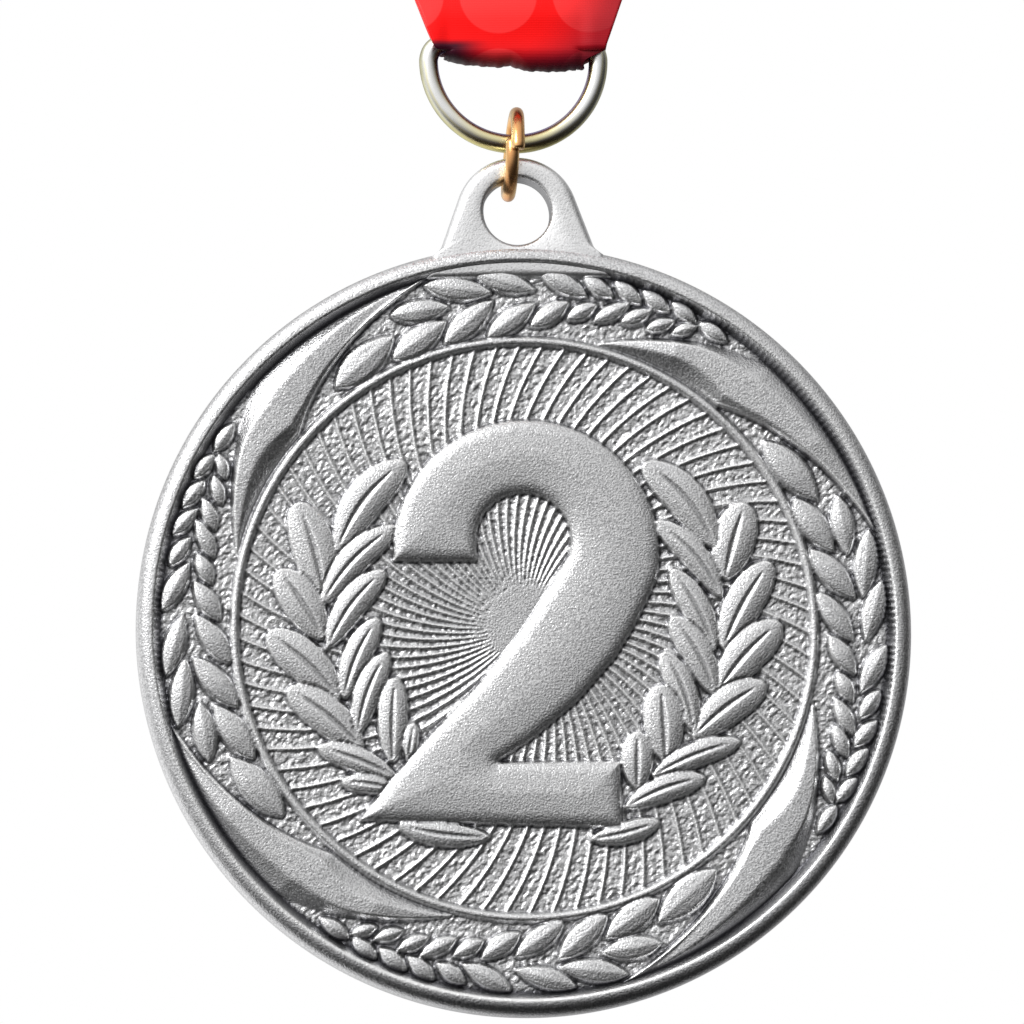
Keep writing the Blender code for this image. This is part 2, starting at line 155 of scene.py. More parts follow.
def add_world():
    """A white backdrop for the camera, and for everything else a soft dome of three lobes."""
    world = bpy.data.worlds.new("studio")
    bpy.context.scene.world = world
    world.use_nodes = True
    tree = world.node_tree
    tree.nodes.clear()
    direction = node(tree, "ShaderNodeTexCoord").outputs["Generated"]
    brightest = None
    for aim, stops in ((SKY_FROM, SKY_STOPS), (REAR_FROM, REAR_STOPS), (EDGE_FROM, EDGE_STOPS)):
        toward = maths(tree, "DOT_PRODUCT", direction, aim, kind=VECTORS)
        glow = ramp(tree, maths(tree, "MULTIPLY_ADD", toward, 0.5, 0.5), stops)
        if brightest is None:
            brightest = glow
        else:
            brightest = maths(tree, "MAXIMUM", brightest, glow, kind=VECTORS)
    dome = node(tree, "ShaderNodeBackground", Color=brightest)
    backdrop = node(tree, "ShaderNodeBackground", Color=(1.0, 1.0, 1.0))
    seen = node(tree, "ShaderNodeLightPath").outputs["Is Camera Ray"]
    mixed = node(tree, "ShaderNodeMixShader", Fac=seen)
    tree.links.new(dome.outputs[0], mixed.inputs[1])
    tree.links.new(backdrop.outputs[0], mixed.inputs[2])
    node(tree, "ShaderNodeOutputWorld", Surface=mixed.outputs[0])


SOFTBOX_SIZE = 0.5
FLOOR_RADIUS = 4.0
FLOOR_Z = -0.6
FLOOR_COLOUR = (0.86, 0.86, 0.85)
FLOOR_ROUGHNESS = 0.7


def add_softbox(name, place, power, in_reflections):
    data = bpy.data.lights.new(name, "AREA")
    data.shape = "DISK"
    data.size = SOFTBOX_SIZE
    data.energy = power
    light = bpy.data.objects.new(name, data)
    light.location = place
    light.visible_glossy = in_reflections
    aim = VIEW_TARGET - Vector(place)
    light.rotation_euler = aim.to_track_quat("-Z", "Y").to_euler()
    bpy.context.scene.collection.objects.link(light)


def new_material(name, colour, metallic, roughness, **others):
    """A material and its tree, with the shader's inputs at these values."""
    made = bpy.data.materials.new(name)
    made.use_nodes = True
    shader = made.node_tree.nodes["Principled BSDF"]
    others.update(Base_Color=(*colour, 1.0), Metallic=metallic, Roughness=roughness)
    for label, value in others.items():
        shader.inputs[label.replace("_", " ")].default_value = value
    return made, made.node_tree


def add_floor():
    """A pale floor well below, left out of reflections and of bounced light."""
    bpy.ops.mesh.primitive_circle_add(
        vertices=96, radius=FLOOR_RADIUS, fill_type="NGON", location=(0.0, 0.0, FLOOR_Z)
    )
    floor = bpy.context.object
    floor.name = "floor"
    floor.visible_glossy = False
    floor.visible_diffuse = False
    floor.data.materials.append(new_material("pale_floor", FLOOR_COLOUR, 0.0, FLOOR_ROUGHNESS)[0])


add_camera()
bpy.context.scene.view_settings.view_transform = "Standard"
add_world()
add_softbox("key_softbox", (-0.55, -0.55, 0.45), 5.0, True)
add_softbox("cloth_softbox", (-0.45, -0.65, 0.40), 5.6, False)
add_floor()


# ---------------- materials


def attribute(tree, label):
    """What mark() wrote on the vertices under this label."""
    return node(tree, "ShaderNodeAttribute", attribute_name=label).outputs["Fac"]


def noise(tree, scale, detail=2.0, roughness=0.5):
    """Noise over the object's own coordinates, in cycles per metre."""
    place = node(tree, "ShaderNodeTexCoord").outputs["Object"]
    settings = {"Vector": place, "Scale": scale, "Detail": detail, "Roughness": roughness}
    return node(tree, "ShaderNodeTexNoise", **settings).outputs["Fac"]


def spread(tree, source, low, high):
    """A 0 to 1 socket spread over low to high."""
    made = node(tree, "ShaderNodeMapRange", Value=source, To_Min=low, To_Max=high)
    return made.outputs["Result"]


def surface(made, colour, roughness, bumps):
    """The material, fed these; the bumps are (height, strength, metres), one over the other."""
    tree = made.node_tree
    shader = tree.nodes["Principled BSDF"]
    tree.links.new(colour, shader.inputs["Base Color"])
    tree.links.new(roughness, shader.inputs["Roughness"])
    normal = None
    for height, strength, depth in bumps:
        layer = node(tree, "ShaderNodeBump", Height=height, Strength=strength, Distance=depth)
        if normal is not None:
            tree.links.new(normal, layer.inputs["Normal"])
        normal = layer.outputs["Normal"]
    tree.links.new(normal, shader.inputs["Normal"])
    return made


def mix_colour(tree, share, low, high):
    """A colour between two, each a socket or a plain one."""
    made = node(tree, "ShaderNodeMix", data_type="RGBA")
    for index, source in ((0, share), (6, low), (7, high)):
        feed(tree, made.inputs[index], source)
    return made.outputs[2]


GRAIN = 6000.0
SPECK_SHARE = (0.58, 0.58, 0.59)
# The colour of the lightened edges: partly polish, partly painted highlight.
POLISH_AND_HIGHLIGHT_SILVER = (0.98, 0.98, 0.975)
# The colour of the painted shade in hollows, creases, the rim's wall and the lug's hole.
PAINTED_SHADE_SILVER = (0.12, 0.12, 0.13)


def satin_silver(name, grain_strength, low, high, speck_lift=0.0):
    """Sandblasted nickel silver with a fine grain, darkened by painted shade in the hollows and
    creases, its edges lightened partly by polish and partly by painted highlight.
    """
    made, tree = new_material(name, (0.70, 0.70, 0.70), 1.0, 0.36)
    clouds = noise(tree, 160.0, 3.0)
    light_grey = mix_colour(tree, clouds, (low, low, low + 0.01), (high, high, high))
    fine = noise(tree, GRAIN, 1.0, 0.6)
    wide = noise(tree, GRAIN / 4.0)
    speck = tuple(share * low for share in SPECK_SHARE)
    specked = mix_colour(tree, spread(tree, fine, -0.7, 1.9 + speck_lift), speck, light_grey)
    # Edges lightened: partly polish, partly painted highlight.
    polish_and_highlight = mix_colour(tree, attribute(tree, "edge"), specked, POLISH_AND_HIGHLIGHT_SILVER)
    # Painted shade in the hollows and creases.
    colour = mix_colour(tree, attribute(tree, "painted_shade"), polish_and_highlight, PAINTED_SHADE_SILVER)
    bumps = ((wide, 0.2, 0.04 * MM), (fine, grain_strength, 0.06 * MM))
    return surface(made, colour, spread(tree, fine, 0.26, 0.42), bumps)


# Colours of the wire from the outside of its ring (0) through its front (0.5) to the inside (1):
# the plating's tint, with painted reflections and shade in bands round the wire.
STEEL_TINT_AND_REFLECTIONS = (
    (0.0, (0.36, 0.34, 0.18)),
    (0.08, (0.66, 0.64, 0.44)),
    (0.18, (0.90, 0.90, 0.84)),
    (0.28, (0.96, 0.90, 0.62)),
    (0.36, (0.97, 0.97, 0.96)),
    (0.64, (0.94, 0.94, 0.92)),
    (0.76, (0.95, 0.90, 0.70)),
    (0.86, (0.82, 0.64, 0.30)),
    (0.94, (0.42, 0.32, 0.44)),
    (1.0, (0.20, 0.15, 0.38)),
)
BROWN_TINT_AND_REFLECTIONS = (
    (0.0, (0.66, 0.62, 0.28)),
    (0.12, (0.56, 0.46, 0.17)),
    (0.24, (0.26, 0.18, 0.08)),
    (0.35, (0.20, 0.17, 0.14)),
    (0.46, (0.50, 0.45, 0.25)),
    (0.58, (0.74, 0.68, 0.40)),
    (0.70, (0.80, 0.71, 0.36)),
    (0.82, (0.44, 0.33, 0.20)),
    (0.93, (0.24, 0.18, 0.42)),
    (1.0, (0.14, 0.10, 0.30)),
)
GOLD_TINT_AND_REFLECTIONS = (
    (0.0, (0.80, 0.40, 0.16)),
    (0.25, (0.95, 0.62, 0.28)),
    (0.5, (1.0, 0.74, 0.40)),
    (0.75, (0.90, 0.53, 0.21)),
    (1.0, (0.56, 0.24, 0.08)),
)
WIRE_ROUGHNESS = 0.27


def bright_wire(name, bands, bottom_bands, wander):
    """Plated wire whose colour runs in wandering bands along it: the plating's tint with painted
    reflections and shade; it turns to other bands towards the bottom.
    """
    made, tree = new_material(name, bands[len(bands) // 2][1], 1.0, WIRE_ROUGHNESS)
    drift = spread(tree, noise(tree, 260.0, 3.0, 0.6), -wander, wander)
    place = maths(tree, "ADD", attribute(tree, "inward"), drift)
    plated_and_reflected, browned = ramp(tree, place, bands), ramp(tree, place, bottom_bands)
    colour = mix_colour(tree, attribute(tree, "toward_bottom"), plated_and_reflected, browned)
    fine = noise(tree, 2600.0, 3.0, 0.6)
    uneven = spread(tree, fine, WIRE_ROUGHNESS - 0.06, WIRE_ROUGHNESS + 0.08)
    bumps = ((noise(tree, 700.0), 0.2, 0.03 * MM), (fine, 0.2, 0.01 * MM))
    return surface(made, colour, uneven, bumps)


DOT_PITCH = 7.85
DOT_RADIUS = 3.26
DOT_BLUR = 0.008
WEAVE_PITCH = 0.2


def red_satin(name):
    """Red satin with rows of large tonal dots. The UV map holds millimetres: across, along."""
    gloss = {"Sheen_Weight": 0.06, "Sheen_Roughness": 0.4, "Sheen_Tint": (1.0, 0.3, 0.3, 1.0)}
    gloss["Specular_IOR_Level"] = 0.2
    made, tree = new_material(name, (0.85, 0.005, 0.006), 0.0, 0.55, **gloss)
    place = node(tree, "ShaderNodeUVMap", uv_map="cloth").outputs["UV"]
    cell = node(tree, VECTORS, operation="SCALE", Vector=place, Scale=1.0 / DOT_PITCH)
    inside = maths(tree, "FRACTION", cell.outputs[0], kind=VECTORS)
    from_middle = maths(tree, "DISTANCE", inside, (0.5, 0.5, 0.0), kind=VECTORS)
    edge = DOT_RADIUS / DOT_PITCH
    dots = ramp(tree, from_middle, ((edge - DOT_BLUR, 1.0), (edge + DOT_BLUR, 0.0)))
    ground = mix_colour(tree, noise(tree, 300.0, 2.0), (0.88, 0.002, 0.002), (0.96, 0.004, 0.004))
    colour = mix_colour(tree, dots, ground, (1.0, 0.03, 0.03))
    # Painted shade: purple-black in the fold under the bar and where the ribbon is gathered.
    colour = mix_colour(tree, attribute(tree, "painted_fold_shade"), colour, (0.012, 0.004, 0.014))
    parts = node(tree, "ShaderNodeSeparateXYZ", Vector=place)
    weft, warp = (
        maths(tree, "SINE", maths(tree, "MULTIPLY", parts.outputs[axis], math.tau / WEAVE_PITCH))
        for axis in ("Y", "X")
    )
    ribs = maths(tree, "MULTIPLY_ADD", warp, 0.35, weft)
    bumps = ((dots, 0.3, 0.02 * MM), (ribs, 0.25, 0.008 * MM))
    return surface(made, colour, spread(tree, noise(tree, 1500.0), 0.36, 0.52), bumps)


def cloth_like(name, low, high, scale, strength, roughness):
    """Thread or elastic: two tones and a fine twist."""
    made, tree = new_material(name, high, 0.0, roughness, Sheen_Weight=0.25)
    fine = noise(tree, scale, 3.0, 0.65)
    uneven = spread(tree, fine, roughness - 0.1, roughness + 0.1)
    return surface(
        made, mix_colour(tree, fine, low, high), uneven, ((fine, strength, 0.06 * MM),)
    )


FACE_SILVER = satin_silver("satin_silver_face", 0.85, 0.78, 0.86)
RIM_SILVER = satin_silver("satin_silver_rim", 0.8, 0.80, 0.88)
# The lug's copy is much lighter than the face's: painted light; it also has a finer grain and fewer
# specks.
LUG_SILVER = satin_silver("satin_silver_lug_painted_lighter", 0.4, 0.94, 0.97, speck_lift=1.5)
STEEL_WIRE = bright_wire("yellow_plated_steel", STEEL_TINT_AND_REFLECTIONS, BROWN_TINT_AND_REFLECTIONS, 0.10)
GOLD_WIRE = bright_wire("gold_wire", GOLD_TINT_AND_REFLECTIONS, GOLD_TINT_AND_REFLECTIONS, 0.5)
RED_SATIN = red_satin("red_satin")
RED_THREAD = cloth_like("red_thread", (0.32, 0.004, 0.006), (0.68, 0.012, 0.014), 2500.0, 0.9, 0.6)
BLACK_ELASTIC = cloth_like(
    "black_elastic", (0.012, 0.012, 0.014), (0.05, 0.05, 0.055), 1800.0, 0.8, 0.75
)


# ---------------- mesh helpers

DISC_RADIUS = 32.5
RIM_TOP = 1.75
FACE_FIELD = 0.85
BACK_FIELD = 1.25
MEDAL_LOW, MEDAL_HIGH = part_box("medal_casting")
DISC_Z = MEDAL_LOW.z + DISC_RADIUS * MM


def smooth_mesh(name, points, faces, paint):
    """An object of one material, from points in metres and an array or list of faces."""
    mesh = bpy.data.meshes.new(name)
    faces = faces.tolist() if isinstance(faces, np.ndarray) else faces
    mesh.from_pydata(points.tolist(), [], faces)
    mesh.shade_smooth()
    mesh.materials.append(paint)
    made = bpy.data.objects.new(name, mesh)
    bpy.context.scene.collection.objects.link(made)
    return made


def mesh_object(name, points, faces, paint, body, slot, replaces=()):
    """A smooth mesh that rides on a CAD body."""
    made = smooth_mesh(name, points, faces, paint)
    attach(made, body)
    if replaces:
        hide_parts(*replaces)
    return made


def on_medal(points):
    """Points on the medal's own axes, in millimetres, as points of the frame in metres."""
    return np.stack((points[..., 0], -points[..., 2], points[..., 1]), -1) * MM + (0, 0, DISC_Z)


def medal_piece(name, points, faces, paint, replaces=("medal_casting",)):
    """A piece of the medal, from points on its own axes."""
    return mesh_object(name, on_medal(points), faces, paint, "medal", "medal_silver", replaces)


def mark(made, label, values):
    """A value on each vertex, for the materials to read."""
    values = np.asarray(values, np.float32).reshape(-1)
    made.data.attributes.new(label, "FLOAT", "POINT").data.foreach_set("value", values)


def add_uv_map(made, name, places):
    """A UV map from one place per vertex."""
    corners = np.zeros(len(made.data.loops), np.int32)
    made.data.loops.foreach_get("vertex_index", corners)
    layer = made.data.uv_layers.new(name=name)
    layer.data.foreach_set("uv", places[corners].astype(np.float32).reshape(-1))


def grid_faces(rows, columns, wrap_rows=False, wrap_columns=False):
    """Quads over a grid of points numbered row by row."""
    row = np.arange(rows if wrap_rows else rows - 1)[:, None]
    column = np.arange(columns if wrap_columns else columns - 1)[None, :]
    next_row, next_column = (row + 1) % rows, (column + 1) % columns
    corners = (
        row * columns + column,
        row * columns + next_column,
        next_row * columns + next_column,
        next_row * columns + column,
    )
    corners = [np.broadcast_to(corner, (row.size, column.size)) for corner in corners]
    return np.stack(corners, -1).reshape(-1, 4)


def arc(centre, radius, start, end, steps):
    """Points on a circle, angles in degrees, both ends included."""
    turn = np.radians(np.linspace(start, end, steps + 1))
    return np.stack((centre[0] + radius * np.cos(turn), centre[1] + radius * np.sin(turn)), -1)


def smooth_step(value):
    value = np.clip(value, 0.0, 1.0)
    return value * value * (3 - 2 * value)


# ---------------- the relief, in millimetres

GRID_STEP = 0.1
FACE_EDGE = 30.9
CELLS = int(2 * FACE_EDGE / GRID_STEP) // 2 * 2 + 2
LINE = (np.arange(CELLS + 1) - CELLS / 2) * GRID_STEP
X, Y = np.meshgrid(LINE, LINE)
RADIUS = np.hypot(X, Y)
ANGLE = np.degrees(np.arctan2(Y, X))


def pebbles(pitch, seed):
    """Close-set, crinkled little lumps of uneven size and height, between 0 and 1."""
    count = int(2 * FACE_EDGE / pitch) + 12
    random = np.random.default_rng(seed)
    jitter = random.uniform(0.0, 1.0, (count, count, 2))
    size = random.uniform(0.7, 1.2, (count, count))
    lift = random.uniform(0.55, 1.0, (count, count))
    bent_x = X + 0.2 * pitch * np.sin(6.1 * Y / pitch**0.5 + 1.5 * np.sin(3.7 * X))
    bent_y = Y + 0.2 * pitch * np.sin(5.3 * X / pitch**0.5 + 1.5 * np.sin(4.3 * Y))
    column = np.floor(bent_x / pitch).astype(int) + count // 2
    row = np.floor(bent_y / pitch).astype(int) + count // 2
    nearest = np.full(X.shape, 9.0)
    second = np.full(X.shape, 9.0)
    top = np.zeros(X.shape)
    for across in (-1, 0, 1):
        for up in (-1, 0, 1):
            i, j = row + up, column + across
            middle_x = (j - count // 2 + jitter[i, j, 0]) * pitch
            middle_y = (i - count // 2 + jitter[i, j, 1]) * pitch
            reach = np.hypot(bent_x - middle_x, bent_y - middle_y) / (pitch * size[i, j])
            second = np.minimum(second, np.maximum(nearest, reach))
            top = np.where(reach < nearest, lift[i, j], top)
            nearest = np.minimum(nearest, reach)
    return top * smooth_step((second - nearest) / 0.26)


PEBBLE_HEIGHT = 0.17
RAY_COUNT = 78
RAY_SWIRL = math.degrees(0.022)
RAY_HEIGHT = 0.24
RAY_HALF_WIDTH = 0.2
BOSS_CENTRE = (0.1, 0.3)
BOSS_RADIUS = 3.3
CORD_RADIUS = 24.3
CORD_HALF_WIDTH = 0.42
CORD_HEIGHT = 0.45


def ground():
    """The pebbled field with its swirl of rays, its boss and its cord circle."""
    height = FACE_FIELD - 0.6 * PEBBLE_HEIGHT + PEBBLE_HEIGHT * pebbles(0.55, 11)
    height += 0.06 * (pebbles(0.34, 12) - 0.5)
    from_boss = np.hypot(X - BOSS_CENTRE[0], Y - BOSS_CENTRE[1])
    turn = np.degrees(np.arctan2(Y - BOSS_CENTRE[1], X - BOSS_CENTRE[0]))
    pitch = 360.0 / RAY_COUNT
    off_ray = (turn + RAY_SWIRL * from_boss) / pitch
    off_ray = np.abs(off_ray - np.round(off_ray)) * np.radians(pitch) * from_boss
    half_width = np.minimum(RAY_HALF_WIDTH, 0.36 * np.radians(pitch) * from_boss)
    ray = np.sqrt(np.clip(1 - (off_ray / half_width) ** 2, 0, 1))
    ray *= RADIUS < CORD_RADIUS
    height = np.where(ray > 0, np.maximum(height, FACE_FIELD - 0.05 + RAY_HEIGHT * ray), height)
    height = np.where(from_boss < BOSS_RADIUS, FACE_FIELD + 0.12, height)
    cord = np.sqrt(np.clip(1 - ((RADIUS - CORD_RADIUS) / CORD_HALF_WIDTH) ** 2, 0, 1))
    return np.where(cord > 0, np.maximum(height, FACE_FIELD + CORD_HEIGHT * cord), height)


def window(points, margin):
    """The part of the grid that holds these points."""
    points = np.asarray(points)
    low = np.floor((points.min(0) - margin - LINE[0]) / GRID_STEP).astype(int)
    high = np.ceil((points.max(0) + margin - LINE[0]) / GRID_STEP).astype(int) + 1
    low = np.clip(low, 0, CELLS)
    return slice(low[1], high[1]), slice(low[0], high[0])


LEAF_LIP = 0.06
LEAF_FLANK = 0.30
LEAF_WIDEN = 1.14


def add_leaf(height, root, tip, width, rise, bend=0.0, vein=0.0, sharp=0.62, blunt=0.5):
    """Lays a leaf over the relief: a roof with a ridge, or two lobes beside a sunk vein."""
    root, tip = np.asarray(root, float), np.asarray(tip, float)
    part = window((root, tip), width)
    length = np.hypot(*(tip - root))
    along_axis = (tip - root) / length
    dx, dy = X[part] - root[0], Y[part] - root[1]
    along = (dx * along_axis[0] + dy * along_axis[1]) / length
    inside = np.clip(along, 1e-6, 1 - 1e-6)
    off = dy * along_axis[0] - dx * along_axis[1] - bend * np.sin(math.pi * inside)
    half = 0.5 * width * (inside / 0.45) ** sharp * ((1 - inside) / 0.55) ** blunt
    half = np.minimum(half, 0.5 * width)
    across = np.abs(off) / np.maximum(half, 1e-6)
    swell = 0.5 + 0.5 * np.sin(math.pi * inside)
    if vein:
        body = np.sqrt(np.clip(1 - across**2, 0, 1))
        groove_half = 0.085 * width * np.clip(np.sin(math.pi * (inside * 1.2 - 0.06)), 0, 1)
        groove = np.clip(1 - np.abs(off) / np.maximum(groove_half, 1e-6), 0, 1)
        top = 0.2 + swell * rise * body - vein * np.minimum(groove * 1.4, 1.0)
    else:
        flank = np.clip((1 - across) / LEAF_FLANK, 0, 1)
        top = 0.14 + swell * rise * (0.58 * flank + 0.42 * (1 - across))
    top = top + LEAF_LIP * np.exp(-((((1 - across) * half - 0.14) / 0.09) ** 2))
    cover = (along > 0) & (along < 1) & (across < 1)
    height[part] = np.where(cover, FACE_FIELD + top, height[part])


# Leaves of the wreath within one quarter, from root to tip: radius, then degrees clockwise of
# that quarter's start, and the width. The numbers follow what a scratch program printed: it
# turned places read by eye on the photo into radii and angles.
WREATH_OUTER = (
    (28.7, 0.6, 27.9, 11.0, 1.9),
    (30.2, 7.5, 28.5, 18.6, 1.9),
    (30.3, 15.9, 28.6, 26.0, 1.8),
    (30.4, 26.2, 28.6, 34.8, 1.7),
    (30.2, 33.5, 29.0, 39.0, 1.4),
    (30.5, 38.4, 29.2, 43.8, 1.4),
    (30.4, 43.0, 29.5, 48.6, 1.4),
    (30.4, 48.0, 29.8, 53.2, 1.3),
    (29.9, 53.4, 29.8, 59.2, 1.3),
)
WREATH_INNER = (
    (25.7, -14.4, 27.0, 0.0, 2.6),
    (25.2, -2.3, 26.8, 9.8, 2.2),
    (24.9, 8.1, 27.9, 18.6, 2.1),
    (24.8, 16.6, 27.6, 26.0, 1.9),
    (25.5, 25.0, 28.0, 31.8, 1.7),
    (26.4, 31.6, 28.2, 36.6, 1.4),
    (26.6, 36.4, 29.0, 42.0, 1.4),
    (27.1, 41.2, 29.1, 45.8, 1.3),
    (27.3, 45.8, 29.1, 50.0, 1.2),
    (27.9, 50.2, 29.6, 53.6, 1.1),
)
QUARTERS = (113.0, 23.0, -67.0, -157.0)


def polar(radius, degrees):
    turn = math.radians(degrees)
    return radius * math.cos(turn), radius * math.sin(turn)


def add_wreath(height):
    for start in QUARTERS:
        for leaves in (WREATH_INNER, WREATH_OUTER):
            for root_radius, root_turn, tip_radius, tip_turn, width in leaves:
                root = polar(root_radius, start - root_turn)
                tip = polar(tip_radius, start - tip_turn)
                add_leaf(height, root, tip, LEAF_WIDEN * width, 0.52, sharp=0.80, blunt=0.88)


# Leaves of the two laurel branches beside the numeral, from the top of each branch down, in
# millimetres from the middle of the disc: root, tip, width, and bend to the left of root to tip.
# The two tables are nearly as a scratch program printed them: it turned places read by eye on
# the photo into millimetres through the fitted camera.
LEFT_BRANCH = (
    ((-16.7, 2.3), (-18.9, 10.8), 3.2, -0.3),
    ((-15.7, 6.6), (-9.9, 14.2), 3.0, 0.7),
    ((-16.9, -0.8), (-20.6, 5.1), 2.9, -0.2),
    ((-17.0, 2.2), (-10.7, 8.7), 2.3, 0.6),
    ((-15.6, -5.8), (-21.5, -0.1), 3.0, -0.3),
    ((-16.6, -1.5), (-11.7, 5.0), 2.3, 0.5),
    ((-13.7, -10.1), (-19.9, -4.8), 2.8, -0.3),
    ((-15.3, -5.8), (-12.3, 1.0), 2.2, 0.4),
    ((-14.2, -8.8), (-11.6, -1.9), 2.1, 0.4),
    ((-11.0, -12.4), (-17.5, -9.8), 1.9, -0.2),
    ((-11.3, -11.2), (-11.0, -4.0), 2.3, 0.1),
    ((-11.0, -13.4), (-15.6, -12.7), 1.5, -0.1),
    ((-10.0, -11.1), (-9.5, -7.8), 1.2, 0.0),
    ((-3.3, -17.5), (-10.9, -16.4), 1.9, 0.3),
)
RIGHT_BRANCH = (
    ((16.8, 3.9), (18.7, 10.4), 3.2, 0.1),
    ((16.2, 6.6), (10.3, 13.9), 3.0, -0.7),
    ((16.5, -2.0), (20.7, 5.4), 2.9, 0.3),
    ((16.6, 2.4), (11.1, 8.9), 2.1, -0.6),
    ((15.9, -2.0), (12.4, 4.8), 2.2, -0.3),
    ((16.0, -5.5), (21.4, 0.3), 3.0, 0.3),
    ((15.8, -5.8), (12.3, 0.8), 2.3, -0.4),
    ((13.8, -9.4), (20.0, -4.8), 2.8, 0.3),
    ((14.0, -8.9), (11.5, -2.1), 2.1, -0.4),
    ((11.5, -11.4), (11.2, -4.9), 3.0, -0.1),
    ((10.3, -12.6), (17.8, -9.7), 1.9, 0.3),
    ((9.1, -13.7), (9.2, -8.8), 2.4, 0.0),
    ((8.0, -15.2), (14.8, -12.7), 2.0, 0.3),
    ((5.1, -17.8), (10.9, -16.4), 1.7, -0.2),
)


def add_laurel(height):
    for branch in (LEFT_BRANCH, RIGHT_BRANCH):
        for root, tip, width, bend in branch:
            add_leaf(height, root, tip, LEAF_WIDEN * width, 0.5, bend, vein=0.2)


# The crescents: degrees clockwise of each quarter's start, and radii.
CRESCENT_FROM, CRESCENT_LEAVES_CORD = -52.5, -25.5
CRESCENT_MEETS_RIM, CRESCENT_TO = -23.0, 10.0
CRESCENT_LOW, CRESCENT_HIGH = 24.8, 30.8
CRESCENT_TURNS_OVER, CRESCENT_TURNED = -37.0, -20.0
CRESCENT_RISE = 0.8


def add_crescents(height):
    """A pointed band with a facet down each side, from the cord circle out to the rim."""
    for start in QUARTERS:
        turn = (start - ANGLE + 180.0) % 360.0 - 180.0
        rising = (turn - CRESCENT_FROM) / (CRESCENT_MEETS_RIM - CRESCENT_FROM)
        outer = CRESCENT_LOW + (CRESCENT_HIGH - CRESCENT_LOW) * np.clip(rising, 0, 1)
        leaving = (turn - CRESCENT_LEAVES_CORD) / (CRESCENT_TO - CRESCENT_LEAVES_CORD)
        inner = CRESCENT_LOW + (CRESCENT_HIGH - CRESCENT_LOW) * np.clip(leaving, 0, 1) ** 0.92
        across = (RADIUS - inner) / np.maximum(outer - inner, 1e-6)
        band = (turn > CRESCENT_FROM) & (turn < CRESCENT_TO) & (across > 0) & (across < 1)
        late = (turn - CRESCENT_TURNS_OVER) / (CRESCENT_TURNED - CRESCENT_TURNS_OVER)
        late = smooth_step(late)
        inner_facet = 0.50 - 0.36 * late
        outer_facet = 0.14 + 0.28 * late
        lip = 0.22 * late * np.exp(-(((RADIUS - inner - 0.2) / 0.14) ** 2))
        slope_in = np.clip(across / inner_facet, 0, 1)
        slope_out = np.clip((1 - across) / outer_facet, 0, 1)
        width = np.clip((outer - inner) / 3.0, 0.15, 1.0)
        crown = 0.08 * np.sin(math.pi * np.clip(across, 0, 1))
        roof = np.minimum(slope_in, slope_out)
        roof = roof - 0.12 * np.clip(roof - 0.85, 0, 1) / 0.15
        sunk = 0.30 * late * (1 - slope_out) + 0.20 * (1 - late) * (1 - slope_in)
        rise = 0.10 + width * (CRESCENT_RISE * roof + crown - sunk) + lip
        height[band] = FACE_FIELD + rise[band]


# The numeral, in millimetres from the middle of the disc. The points of its stem and foot are
# thinned from what a scratch program printed, from places read by eye on the photo.
BOWL_CENTRE, BOWL_RADIUS = (0.2, 6.4), 11.2
COUNTER_CENTRE, COUNTER_RADIUS = (0.0, 7.4), 3.95
TERMINAL_HEIGHT = 5.6
STEM_OUTSIDE = ((10.2, 2.0), (8.9, -0.4), (7.5, -2.6), (4.2, -6.3), (0.5, -9.3), (-2.5, -11.2))
NUMERAL_FOOT = ((7.8, -11.3), (7.8, -16.9), (-14.2, -16.0))
STEM_INSIDE = ((-11.8, -12.9), (-8.1, -8.8), (-4.4, -5.1), (-0.6, -0.6), (2.3, 3.7))


def numeral_outline():
    """A broad 2: a bowl between two circles, a leaning stem and a flat foot."""
    bowl = arc(BOWL_CENTRE, BOWL_RADIUS, 183.5, -12.0, 60)
    counter = arc(COUNTER_CENTRE, COUNTER_RADIUS, -18.0, 183.0, 40)
    corner = ((COUNTER_CENTRE[0] - COUNTER_RADIUS, TERMINAL_HEIGHT),)
    return np.concatenate((bowl, STEM_OUTSIDE, NUMERAL_FOOT, STEM_INSIDE, counter, corner))


def depth_inside(outline, px, py):
    """How far each point lies inside a closed outline, below zero outside it."""
    nearest = np.full(px.shape, 1e9)
    crossings = np.zeros(px.shape, int)
    for (ax, ay), (bx, by) in zip(outline, np.roll(outline, -1, 0)):
        ex, ey = bx - ax, by - ay
        share = np.clip(((px - ax) * ex + (py - ay) * ey) / (ex * ex + ey * ey + 1e-12), 0, 1)
        nearest = np.minimum(nearest, np.hypot(px - ax - share * ex, py - ay - share * ey))
        spans = (ay > py) != (by > py)
        crossings += spans & (px < ax + (py - ay) * ex / (ey if abs(ey) > 1e-12 else 1e-12))
    return np.where(crossings % 2 == 1, nearest, -nearest)


SHOULDER_REACH, DOME_REACH = 1.15, 3.7
WALL_RISE, SHOULDER_RISE, DOME_RISE = 0.22, 0.40, 0.28


def add_numeral(height):
    """A short wall, a round shoulder and a low dome over the numeral's width."""
    outline = numeral_outline()
    part = window(outline, 0.5)
    depth = depth_inside(outline, X[part], Y[part])
    shoulder = np.sqrt(1 - (1 - np.clip(depth / SHOULDER_REACH, 0, 1)) ** 2)
    dome = 1 - (1 - np.clip(depth / DOME_REACH, 0, 1)) ** 2
    top = FACE_FIELD + WALL_RISE + SHOULDER_RISE * shoulder + DOME_RISE * dome
    height[part] = np.where(depth > 0, top, height[part])


def blurred(values, times):
    """The values after passes of a 1-2-1 average along both directions."""
    for _ in range(times):
        for axis in (0, 1):
            before, after = np.roll(values, 1, axis), np.roll(values, -1, axis)
            values = 0.25 * before + 0.5 * values + 0.25 * after
    return values


def face_heights():
    height = ground()
    add_wreath(height)
    add_crescents(height)
    add_laurel(height)
    add_numeral(height)
    return blurred(height, 1)


